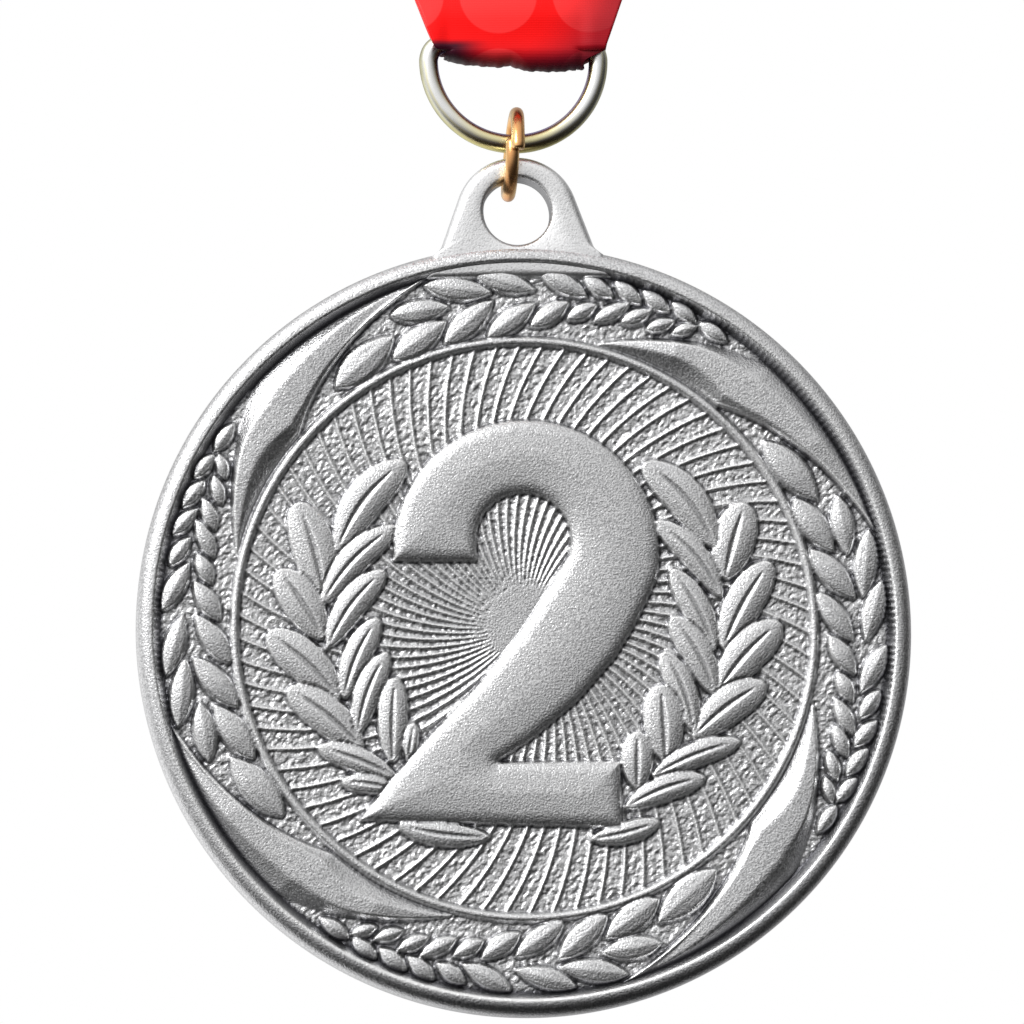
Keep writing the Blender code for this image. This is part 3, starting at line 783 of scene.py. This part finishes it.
def build_face():
    """The relief in four pieces, one for each quarter of the face."""
    height = face_heights()
    # Painted shade: darker where the relief lies below its surroundings and beside the rim, and in
    # the creases beside raised edges.
    walled = np.where(RADIUS > 30.6, RIM_TOP, height)
    painted_shade = np.clip((blurred(walled, 14) - height) / 0.18 - 0.12, 0, 1)
    crease = np.clip((blurred(height, 2) - height) / 0.045 - 0.25, 0, 1)
    painted_shade = np.maximum(painted_shade, 0.9 * crease)
    # Lighter on raised edges: partly polish, partly painted highlight.
    edge = np.clip((height - blurred(height, 3)) / 0.06 - 0.2, 0, 1)
    slope_y, slope_x = np.gradient(height, GRID_STEP)
    normals = np.stack((-slope_x, -slope_y, np.ones_like(height)), -1)
    normals /= np.linalg.norm(normals, axis=-1, keepdims=True)
    middle = CELLS // 2
    halves = (slice(0, middle + 1), slice(middle, CELLS + 1))
    names = (("low_left", "low_right"), ("high_left", "high_right"))
    for i, rows in enumerate(halves):
        for j, columns in enumerate(halves):
            part = (rows, columns)
            shape = X[part].shape
            local = np.stack((X[part], Y[part], height[part]), -1).reshape(-1, 3)
            faces = grid_faces(*shape)
            keep = (RADIUS[part].reshape(-1)[faces] < FACE_EDGE).all(1)
            used, faces = np.unique(faces[keep], return_inverse=True)
            name = f"face_relief_{names[i][j]}"
            face = medal_piece(name, local[used], faces.reshape(-1, 4), FACE_SILVER)
            mark(face, "painted_shade", painted_shade[part].reshape(-1)[used])
            mark(face, "edge", edge[part].reshape(-1)[used])
            flat = normals[part].reshape(-1, 3)[used]
            turned = np.stack((flat[:, 0], -flat[:, 2], flat[:, 1]), -1)
            face.data.normals_split_custom_set_from_vertices(turned.tolist())
            # A UV map that lays the relief out flat, for baking the textures.
            spread_out = local[used, :2] - local[used, :2].min(0)
            add_uv_map(face, "OFBake", 0.01 + 0.98 * spread_out / spread_out.max())


build_face()


# ---------------- rim, back and lug

# The rim's section as (radius, height), in four runs with the rounded edge between two of them.
EDGE_ROUND = 1.2
RIM_WALL = ((30.3, 0.74), (30.45, 0.84), (30.58, 0.98), (30.74, 1.2), (30.9, 1.42), (31.02, 1.58))
RIM_CREST = ((31.07, 1.655), (31.13, 1.70), (31.20, 1.735), (31.26, 1.748))
RIM_BACK = ((31.24, -1.745), (31.16, -1.72), (31.05, -1.62), (30.8, -1.42))
RIM_FOOT = ((30.62, -1.30), (30.45, -1.255), (30.0, -BACK_FIELD), (29.0, -BACK_FIELD))
# At each point of the wall: how much of the teeth's depth is cut there, and how much painted shade
# it gets.
WALL_CUT = (0.0, 0.5, 1.0, 1.0, 1.0, 0.6)
WALL_SHADE = (1.0, 1.0, 0.95, 0.8, 0.55, 0.25)
# Where the teeth are crisp: the direction in radians, how far to each side in degrees, how deep.
TOOTH_PATCHES = ((0.02, 17.0, 1.0), (0.8, 32.0, 0.35), (3.1, 14.0, 0.7))
TOOTH_PITCH = 0.55
TOOTH_DEPTH = 0.06
TOOTH_RADIUS = 31.0
RIM_STEPS = 2124
BACK_RADIUS = 29.1
BACK_CROWN = 0.06


def circle(radius, turn, height):
    """Points round the medal's axis."""
    return np.stack((radius * np.cos(turn), radius * np.sin(turn), np.full(len(turn), height)), -1)


def build_rim():
    """The rim in one turn: the toothed inner wall, the crest, the edge and the plain back."""
    turn_in = DISC_RADIUS - EDGE_ROUND
    side = arc((turn_in, RIM_TOP - EDGE_ROUND), EDGE_ROUND, 90.0, 0.0, 12)
    under = arc((turn_in, EDGE_ROUND - RIM_TOP), EDGE_ROUND, 0.0, -90.0, 12)
    profile = np.concatenate((RIM_WALL, RIM_CREST, side, under, RIM_BACK, RIM_FOOT))
    turn = np.linspace(0.0, math.tau, RIM_STEPS, endpoint=False)
    wave = np.clip(1.8 * np.sin(round(math.tau * TOOTH_RADIUS / TOOTH_PITCH) * turn), -1, 1)
    crisp = [
        depth * np.exp(-((np.degrees(np.angle(np.exp(1j * (turn - middle)))) / reach) ** 2))
        for middle, reach, depth in TOOTH_PATCHES
    ]
    cut = TOOTH_DEPTH * wave * (0.06 + np.max(crisp, 0))
    shares = WALL_CUT + (0.0,) * (len(profile) - len(WALL_CUT))
    rows = [circle(r + cut * share, turn, h) for (r, h), share in zip(profile, shares)]
    points = np.concatenate(rows)
    faces = grid_faces(len(profile), RIM_STEPS, wrap_columns=True)
    rim = medal_piece("rim", points, faces, RIM_SILVER)
    # Painted shade down the inner wall and on the outer side of the rim along the lower left and
    # the bottom, with a painted highlight along the crest's inner line there.
    shade, painted_highlight = np.zeros((2, len(profile), RIM_STEPS))
    shade[: len(WALL_SHADE)] = np.array(WALL_SHADE)[:, None]
    low_side = np.exp(-(((np.degrees(turn) - 262.0) / 42.0) ** 2))
    for (radius, height), dark, light in zip(profile, shade, painted_highlight):
        if height > 0 and radius > 31.45:
            dark[:] = 0.62 * low_side * math.exp(-(((radius - 31.85) / 0.4) ** 2))
        if height > 1.5 and radius < 31.4:
            light[:] = 0.3 + 0.7 * low_side
    mark(rim, "painted_shade", shade)
    mark(rim, "edge", painted_highlight)


def build_back():
    """The plain back, very slightly crowned, inside the rim."""
    steps, rings = 240, 40
    turn = np.linspace(0.0, math.tau, steps, endpoint=False)
    points = []
    for ring in range(rings + 1):
        radius = BACK_RADIUS * ring / rings
        depth = -BACK_FIELD - BACK_CROWN * (1 - smooth_step(radius / BACK_RADIUS))
        points.append(circle(radius, turn, depth))
    faces = grid_faces(rings + 1, steps, wrap_columns=True)
    points = np.concatenate(points)
    hub = len(points)
    points = np.concatenate((points, ((0.0, 0.0, points[0, 2]),)))
    around = np.arange(steps)
    fan = np.stack((np.full(steps, hub), steps + around, steps + (around + 1) % steps), -1)
    points[:steps] = points[hub]
    medal_piece("back_field", points, faces[steps:], RIM_SILVER)
    medal_piece("back_middle", points, fan, RIM_SILVER, replaces=())


LUG_HALF = 1.45
HOLE_ABOVE = 35.35
HOLE_RADIUS = 2.85
ARCH_RADIUS = 5.2
ARCH_CENTRE = (0.0, 34.85)
LUG_FLARE = 20.0
LUG_FOOT_HEIGHT = 32.5
LUG_FILLET = 1.2
LUG_SHOULDER = 0.85
LUG_ROOT_RADIUS = 30.6
LUG_STEPS = 288
# The edge of the lug's hole: how far out of the hole's radius, and the height.
HOLE_LIP = 0.36
HOLE_EDGE = (
    (0.02, 0.0),
    (0.0, 0.25),
    (0.0, LUG_HALF - 0.34),
    (0.1, LUG_HALF - 0.14),
    (0.26, LUG_HALF - 0.03),
    (HOLE_LIP, LUG_HALF),
)


def lug_outline():
    """The arch over the hole, its straight sides flaring into the disc through two fillets."""
    arch = arc(ARCH_CENTRE, ARCH_RADIUS, LUG_FLARE, 180.0 - LUG_FLARE, 60)
    normal = np.array(polar(1.0, LUG_FLARE))
    drop = arch[0, 1] - LUG_FOOT_HEIGHT
    foot = np.array((arch[0, 0] + drop * normal[1] / normal[0], LUG_FOOT_HEIGHT))
    fillet = arc(foot + LUG_FILLET * normal, LUG_FILLET, 262.0, 180.0 + LUG_FLARE, 12)
    left = fillet[::-1] * (-1, 1)
    root = np.array((polar(LUG_ROOT_RADIUS, 105.0), polar(LUG_ROOT_RADIUS, 75.0)))
    return np.concatenate((fillet, arch, left, root))


def reach_from(centre, outline, turn):
    """The distance from a centre to the outline along one direction."""
    direction = np.array((math.cos(turn), math.sin(turn)))
    found = []
    for start, end in zip(outline, np.roll(outline, -1, 0)):
        edge = end - start
        cross = direction[0] * edge[1] - direction[1] * edge[0]
        if abs(cross) < 1e-12:
            continue
        gap = start - centre
        far = (gap[0] * edge[1] - gap[1] * edge[0]) / cross
        share = (gap[0] * direction[1] - gap[1] * direction[0]) / cross
        if far > 0 and -1e-9 <= share <= 1 + 1e-9:
            found.append(far)
    return max(found)


def build_lug():
    """The lug, lofted round its hole: a crisp hole edge, a flat face and a broad round shoulder."""
    centre = np.array((0.0, HOLE_ABOVE))
    outline = lug_outline()
    shoulder = [(1 - math.sin(t), 1 - math.cos(t)) for t in np.radians(np.linspace(0, 90, 8))]
    rows = []
    for turn in np.linspace(0.0, math.tau, LUG_STEPS, endpoint=False):
        reach = reach_from(centre, outline, turn)
        half = [(HOLE_RADIUS + out, height) for out, height in HOLE_EDGE]
        flat_end = max(reach - LUG_SHOULDER, HOLE_RADIUS + 0.5)
        half += [(0.5 * (HOLE_RADIUS + HOLE_LIP + flat_end), LUG_HALF)]
        for sine, fall in shoulder:
            half.append((reach - (reach - flat_end) * sine, LUG_HALF - LUG_SHOULDER * fall))
        section = half + [(r, -h) for r, h in reversed(half[1:])]
        direction = np.array((math.cos(turn), math.sin(turn)))
        rows.append([(*(centre + r * direction), h) for r, h in section])
    rows = np.array(rows)
    faces = grid_faces(LUG_STEPS, rows.shape[1], wrap_rows=True, wrap_columns=True)
    points = rows.reshape(-1, 3)
    lug = medal_piece("lug", points, faces, LUG_SILVER)
    # Painted shade inside the hole.
    in_hole = np.hypot(points[:, 0], points[:, 1] - HOLE_ABOVE) < HOLE_RADIUS + 0.03
    mark(lug, "painted_shade", 0.85 * in_hole)


build_rim()
build_back()
build_lug()


# ---------------- the wire rings

D_WIRE = 1.6
D_ARC_RADIUS = 7.2
BAR_ABOVE_ARC = 1.5
D_CORNER = 1.5
D_LOW, D_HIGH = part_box("d_ring")
D_ARC_Z = D_LOW.z / MM + D_WIRE / 2 + D_ARC_RADIUS
BAR_Z = D_ARC_Z + BAR_ABOVE_ARC
JUMP_WIRE = 1.15
JUMP_RADIUS = (8.03 - JUMP_WIRE) / 2
JUMP_LOW, JUMP_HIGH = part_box("jump_ring")
JUMP_Z = (JUMP_LOW.z + JUMP_HIGH.z) / 2 / MM
JUMP_LEAN = 6.2
JUMP_SHIFT = -0.25
JUMP_ASIDE = 0.27
JUMP_SPREAD = 0.46
WIRE_SIDES = 24


def tube(name, path, radius, paint, body, slot, replaces, closed):
    """A wire of round section along points in millimetres, on the frame's axes."""
    sides = WIRE_SIDES
    ahead = np.roll(path, -1, 0) if closed else np.concatenate((path[1:], path[-1:]))
    behind = np.roll(path, 1, 0) if closed else np.concatenate((path[:1], path[:-1]))
    tangent = ahead - behind
    tangent /= np.linalg.norm(tangent, axis=1, keepdims=True)
    middle = path.mean(0)
    out = path - middle
    out -= (out * tangent).sum(1, keepdims=True) * tangent
    out /= np.linalg.norm(out, axis=1, keepdims=True)
    side = np.cross(tangent, out)
    turn = np.linspace(0.0, math.tau, sides, endpoint=False)
    radius = np.broadcast_to(radius, len(path))
    ring = np.cos(turn)[None, :, None] * out[:, None] + np.sin(turn)[None, :, None] * side[:, None]
    points = path[:, None] + radius[:, None, None] * ring
    faces = grid_faces(len(path), sides, wrap_rows=closed, wrap_columns=True).tolist()
    points = points.reshape(-1, 3)
    if not closed:
        ends = np.array((path[0], path[-1]))
        points = np.concatenate((points, ends))
        last = (len(path) - 1) * sides
        for i in range(sides):
            j = (i + 1) % sides
            faces.append([len(points) - 2, j, i])
            faces.append([len(points) - 1, last + i, last + j])
    made = mesh_object(name, points * MM, faces, paint, body, slot, replaces)
    inward = np.full(len(points), 0.5)
    inward[: len(path) * sides] = np.tile(0.5 - 0.5 * np.cos(turn), len(path))
    mark(made, "inward", inward)
    # The colour turns to the second set of bands towards the bottom of each ring.
    toward_bottom = np.repeat(smooth_step((middle[2] - path[:, 2] - 1.0) / 3.5), sides)
    mark(made, "toward_bottom", np.concatenate((toward_bottom, np.zeros(len(points) - len(toward_bottom)))))


def build_d_ring():
    """The D-ring: an arc, two rounded corners and the bar that lies in the ribbon's fold."""
    bar_half = math.sqrt(D_ARC_RADIUS**2 - BAR_ABOVE_ARC**2)
    low = math.degrees(math.asin(BAR_ABOVE_ARC / D_ARC_RADIUS))
    trim = math.degrees(D_CORNER / D_ARC_RADIUS)
    lower = arc((0.0, 0.0), D_ARC_RADIUS, low - trim, -180.0 - low + trim, 110)
    share = np.linspace(0.0, 1.0, 12)[1:-1, None]
    left_tip, right_tip = np.array((-bar_half, BAR_ABOVE_ARC)), np.array((bar_half, BAR_ABOVE_ARC))
    left_end, right_end = left_tip + (D_CORNER, 0.0), right_tip - (D_CORNER, 0.0)

    def corner(start, tip, end):
        return (1 - share) ** 2 * start + 2 * share * (1 - share) * tip + share**2 * end

    bar = left_end + np.linspace(0.0, 1.0, 24)[:, None] * (right_end - left_end)
    flat = np.concatenate(
        (lower, corner(lower[-1], left_tip, left_end), bar, corner(right_end, right_tip, lower[0]))
    )
    path = np.stack((flat[:, 0], np.zeros(len(flat)), flat[:, 1] + D_ARC_Z), -1)
    tube("d_ring_wire", path, D_WIRE / 2, STEEL_WIRE, "d_ring", "steel_wire", ("d_ring",), True)


def build_jump_ring():
    """The split ring: its two cut ends pass each other side by side in front."""
    turn = np.radians(np.linspace(168.0, 543.0, 150))
    share = np.linspace(-1.0, 1.0, len(turn))
    apart = np.sign(share) * np.abs(share) ** 5
    reach = JUMP_RADIUS + JUMP_SPREAD * apart
    path = np.stack((JUMP_ASIDE * apart, reach * np.cos(turn), reach * np.sin(turn)), -1)
    lean = math.radians(JUMP_LEAN)
    leaned = np.stack(
        (
            path[:, 0] * math.cos(lean) + path[:, 2] * math.sin(lean) + JUMP_SHIFT,
            path[:, 1],
            path[:, 2] * math.cos(lean) - path[:, 0] * math.sin(lean) + JUMP_Z,
        ),
        -1,
    )
    from_end = np.minimum(np.arange(len(turn)), np.arange(len(turn))[::-1])
    radius = JUMP_WIRE / 2 * np.clip(0.86 + 0.07 * from_end, 0.0, 1.0)
    replaced = ("jump_ring",)
    tube("jump_ring_wire", leaned, radius, GOLD_WIRE, "jump_ring", "gold_wire", replaced, False)


build_d_ring()
build_jump_ring()


# ---------------- the ribbon

RIBBON_WIDTH = 22.0
RIBBON_THICKNESS = 0.45
RUNS_PER_SIDE = 7
RUN_PITCH = 0.75
PLY_OFFSET = 0.5
HANK_LOW, HANK_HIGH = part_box("ribbon_hank")
HANK_TOP, HANK_BOTTOM = HANK_HIGH.z / MM, HANK_LOW.z / MM
BAND_Z = (HANK_TOP + HANK_BOTTOM) / 2
FOLD_RADIUS = D_WIRE / 2 + 0.3 + RIBBON_THICKNESS / 2
FLAP_HEIGHT = -0.7
FLAP_HALF_WIDTH = 7.25
BACK_FLAP_HALF_WIDTH = 6.8
FOLD_LEFT, FOLD_RIGHT = -5.95, 6.0
STRAP_CENTRE = 0.5
TACK_DEPTH = 0.86  # the middle of each ply where the CAD tack's thread lies on it
ACROSS = 65
STRAP_ROWS = 44
DOT_HEIGHT = 3.75
DOT_ACROSS = -1.3

# The painted shade in the gathers by height above the bar, in millimetres.
FOLD_SHADE_HEIGHT = (-2.4, -1.6, -0.7, 0.2, 1.4, 2.6)
FOLD_SHADE_DEPTH = (0.97, 0.72, 0.22, 0.06, 0.01, 0.0)

# How far the fold hangs below the bar, from its left to its right.
SAG_ACROSS = (-5.9, -4.4, -1.4, -0.2, 1.0, 3.6, 5.8)
SAG_DEPTH = (1.35, 1.8, 2.08, 1.95, 2.4, 2.5, 2.3)


def run_depth(index, z):
    """How far run index, counted outwards, lies from the hank's middle: pinched by the band."""
    loose = smooth_step((abs(z - BAND_Z) - 3.5) / 16.0)
    return (index + 0.5) * RUN_PITCH * (0.97 + 0.16 * loose)


def strap_row(height, side, across):
    """Points of one ply at a height above the bar, where its edges open out in a straight V."""
    share = (height - FLAP_HEIGHT) / (HANK_BOTTOM - BAR_Z - FLAP_HEIGHT)
    foot = FLAP_HALF_WIDTH if side < 0 else BACK_FLAP_HALF_WIDTH
    half = foot + (RIBBON_WIDTH / 2 - foot) * share
    centre = STRAP_CENTRE + (side * PLY_OFFSET - STRAP_CENTRE) * smooth_step(share * 2.0 - 1.0)
    closing = smooth_step((height - 1.6) / 4.5)
    depth = FOLD_RADIUS + 0.05 + (0.55 - FOLD_RADIUS) * closing
    at_tack = smooth_step((height - 4.0) / 2.5) * (1 - smooth_step((height - 8.2) / 1.3))
    depth = depth + (TACK_DEPTH - depth) * at_tack
    x = centre + half * across
    bulge = 0.55 * np.cos(0.5 * math.pi * across) * smooth_step((height + 0.5) / 4.0)
    bulge *= 1 - smooth_step((height - 4.0) / 5.0)
    curl = 0.25 * smooth_step((np.abs(x) - 5.4) / 1.4) * (1 - smooth_step((height - 0.5) / 3.0))
    y = side * (depth + bulge + curl)
    return np.stack((x, y, np.full_like(x, BAR_Z + height)), -1)


def gathered(x):
    """Places across the ribbon, drawn together between the D-ring's corners at their ends."""
    limit = np.where(x > 0, FOLD_RIGHT, -FOLD_LEFT)
    share = np.abs(x) / limit
    drawn = 0.82 + 0.18 * (1 - np.exp(-np.maximum(share - 0.82, 0) / 0.18))
    return np.sign(x) * limit * np.where(share < 0.82, share, drawn)


def fold_row(turn, across):
    """Points under the bar: turn runs from 0 at the front ply to 180 degrees at the back one."""
    spread_out = STRAP_CENTRE + FLAP_HALF_WIDTH * across
    late = np.where(across > 0, smooth_step(math.sin(turn) / 0.75), 1.0)
    x = spread_out + (gathered(spread_out) - spread_out) * late
    fray = (0.04 * np.sin(9.0 * x) + 0.04 * np.sin(23.0 * x + 1.0)) * math.sin(turn) ** 6
    sag = np.interp(x, SAG_ACROSS, SAG_DEPTH) + fray
    low = FLAP_HEIGHT - 0.05
    tuck = 0.25 * smooth_step((np.abs(x) - 5.0) / 0.8)
    y = -(FOLD_RADIUS + 0.05 - tuck) * math.cos(turn)
    z = BAR_Z + low - (sag - RIBBON_THICKNESS / 2 + low) * math.sin(turn)
    return np.stack((x, y, z), -1)


def painted_fold_shade_of(points):
    """Painted shade on the satin where it is gathered into the ring, deepest in the fold, towards
    the right and at the left end under the flap: 0 is none, 1 is black.
    """
    x, height = points[..., 0], points[..., 2] - BAR_Z
    lower = np.interp(height, FOLD_SHADE_HEIGHT, FOLD_SHADE_DEPTH)
    shade_edge = x - 0.5 * np.clip(height, -2.5, 4.0)
    rightward = 0.66 * smooth_step((shade_edge - 1.2) / 6.5)
    leftward = 0.95 * smooth_step((-1.6 - x) / 3.6) * smooth_step((0.1 - height) / 0.5)
    unshaded = (1 - lower) * (1 - rightward) * (1 - leftward)
    return (1 - unshaded) * (1 - smooth_step((height - 3.5) / 3.0))


def flat_row(centre, y, z, across):
    """Points straight across the ribbon, with a slight ripple."""
    x = centre + RIBBON_WIDTH / 2 * across
    ripple = 0.04 * np.sin(0.35 * x + 0.19 * z)
    return np.stack((x, y + ripple, np.full_like(x, z)), -1)


def half_rows(side, across):
    """Rows of points from the top of the neck loop down to the bar."""
    rows = []
    radius = (RUNS_PER_SIDE - 0.5) * RUN_PITCH
    arch_z = RIBBON_THICKNESS / 2 - radius
    half_depth = run_depth(RUNS_PER_SIDE - 1, HANK_TOP)
    for turn in np.radians(np.linspace(90.0, 0.0, 20)):
        lean = PLY_OFFSET * (1.0 - math.degrees(turn) / 90.0)
        y = side * half_depth * math.cos(turn)
        rows.append(flat_row(side * lean, y, arch_z + radius * math.sin(turn), across))
    sway = np.random.default_rng(5 if side < 0 else 6).uniform(-0.25, 0.25, RUNS_PER_SIDE + 1)
    turn_room = (RUN_PITCH + RIBBON_THICKNESS) / 2
    top, bottom = HANK_TOP - turn_room, HANK_BOTTOM + turn_room
    for k in range(RUNS_PER_SIDE):
        index = RUNS_PER_SIDE - 1 - k
        start, end = (top, bottom) if k % 2 == 0 else (bottom, top)
        for share in np.linspace(0.0, 1.0, 34):
            z = start + (end - start) * share
            drift = sway[k] + (sway[k + 1] - sway[k]) * smooth_step(share)
            rows.append(flat_row(side * PLY_OFFSET + drift, side * run_depth(index, z), z, across))
        if index == 0:
            continue
        outer, inner = run_depth(index, end), run_depth(index - 1, end)
        middle, bend = (outer + inner) / 2, (outer - inner) / 2
        away = -1.0 if end < start else 1.0
        for turn in np.radians(np.linspace(0.0, 180.0, 9))[1:-1]:
            y = side * (middle + bend * math.cos(turn))
            z = end + away * bend * math.sin(turn)
            rows.append(flat_row(side * PLY_OFFSET + sway[k + 1], y, z, across))
    heights = np.linspace(HANK_BOTTOM - BAR_Z, FLAP_HEIGHT, STRAP_ROWS)
    return rows + [strap_row(height, side, across) for height in heights]


def build_ribbon():
    """One continuous strip, with its own across and along coordinates for the weave and dots."""
    across = np.linspace(-1.0, 1.0, ACROSS)
    front, back = half_rows(-1, across), half_rows(1, across)
    under = [fold_row(turn, across) for turn in np.radians(np.linspace(0.0, 180.0, 31))]
    points = np.array(front + under + back[::-1])
    middle = points[:, ACROSS // 2]
    along = np.concatenate(((0.0,), np.cumsum(np.linalg.norm(np.diff(middle, axis=0), axis=1))))
    faces = grid_faces(len(points), ACROSS)
    ribbon = smooth_mesh("neck_ribbon", points.reshape(-1, 3) * MM, faces, RED_SATIN)
    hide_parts("ribbon_fold", "ribbon_hank", "ribbon_neck_loop")
    front_strap = slice(len(front) - STRAP_ROWS, len(front))
    anchor = np.interp(-DOT_HEIGHT - BAR_Z, -middle[front_strap, 2], along[front_strap])
    cloth = np.zeros((len(points), ACROSS, 2))
    cloth[..., 0] = points[..., 0] - DOT_ACROSS + DOT_PITCH / 2
    cloth[..., 1] = (along - anchor)[:, None] + DOT_PITCH / 2
    add_uv_map(ribbon, "cloth", cloth.reshape(-1, 2))
    mark(ribbon, "painted_fold_shade", painted_fold_shade_of(points))
    skin = ribbon.modifiers.new("thickness", "SOLIDIFY")
    skin.thickness = RIBBON_THICKNESS * MM
    skin.offset = 0.0
    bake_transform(ribbon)


BAND_CORNER = 1.8
BAND_HALF_HEIGHT = 3.5
BAND_THICKNESS = 0.78
BAND_RIB = 0.10
BAND_RIBS = 10


def build_band():
    """A ribbed elastic band round the middle of the hank."""
    low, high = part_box("ribbon_band")
    half_x, half_y = (high.x - low.x) / 2 / MM, (high.y - low.y) / 2 / MM
    outline = []
    for sign_x, sign_y, start in ((1, 1, 0.0), (-1, 1, 90.0), (-1, -1, 180.0), (1, -1, 270.0)):
        centre = (sign_x * (half_x - BAND_CORNER), sign_y * (half_y - BAND_CORNER))
        outline.append(arc(centre, BAND_CORNER, start, start + 90.0, 10))
    outline = np.concatenate(outline)
    ahead, behind = np.roll(outline, -1, 0), np.roll(outline, 1, 0)
    tangent = ahead - behind
    tangent /= np.linalg.norm(tangent, axis=1, keepdims=True)
    outward = np.stack((tangent[:, 1], -tangent[:, 0]), -1)
    up = np.linspace(-1.0, 1.0, 71)
    outer = BAND_RIB * np.abs(np.cos(up * math.pi * BAND_RIBS / 2)) - 0.12
    outer = np.where(np.abs(up) > 0.96, outer - 0.2, outer)
    section = [(out, BAND_HALF_HEIGHT * z) for out, z in zip(outer, up)]
    section += [(-BAND_THICKNESS, z) for z in (BAND_HALF_HEIGHT - 0.05, 0.05 - BAND_HALF_HEIGHT)]
    rows = np.array([[(*(p + out * n), z) for out, z in section] for p, n in zip(outline, outward)])
    points = rows.reshape(-1, 3) + (0.0, 0.0, BAND_Z)
    faces = grid_faces(len(outline), len(section), wrap_rows=True, wrap_columns=True)
    looks = (BLACK_ELASTIC, "ribbon", "band_elastic", ("ribbon_band",))
    mesh_object("elastic_band", points * MM, faces, *looks)


build_band()
build_ribbon()
for stitches in ("front_tack", "back_tack", "loop_seam"):
    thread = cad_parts[stitches]
    thread.data.materials.clear()
    thread.data.materials.append(RED_THREAD)
    thread.data.shade_smooth()
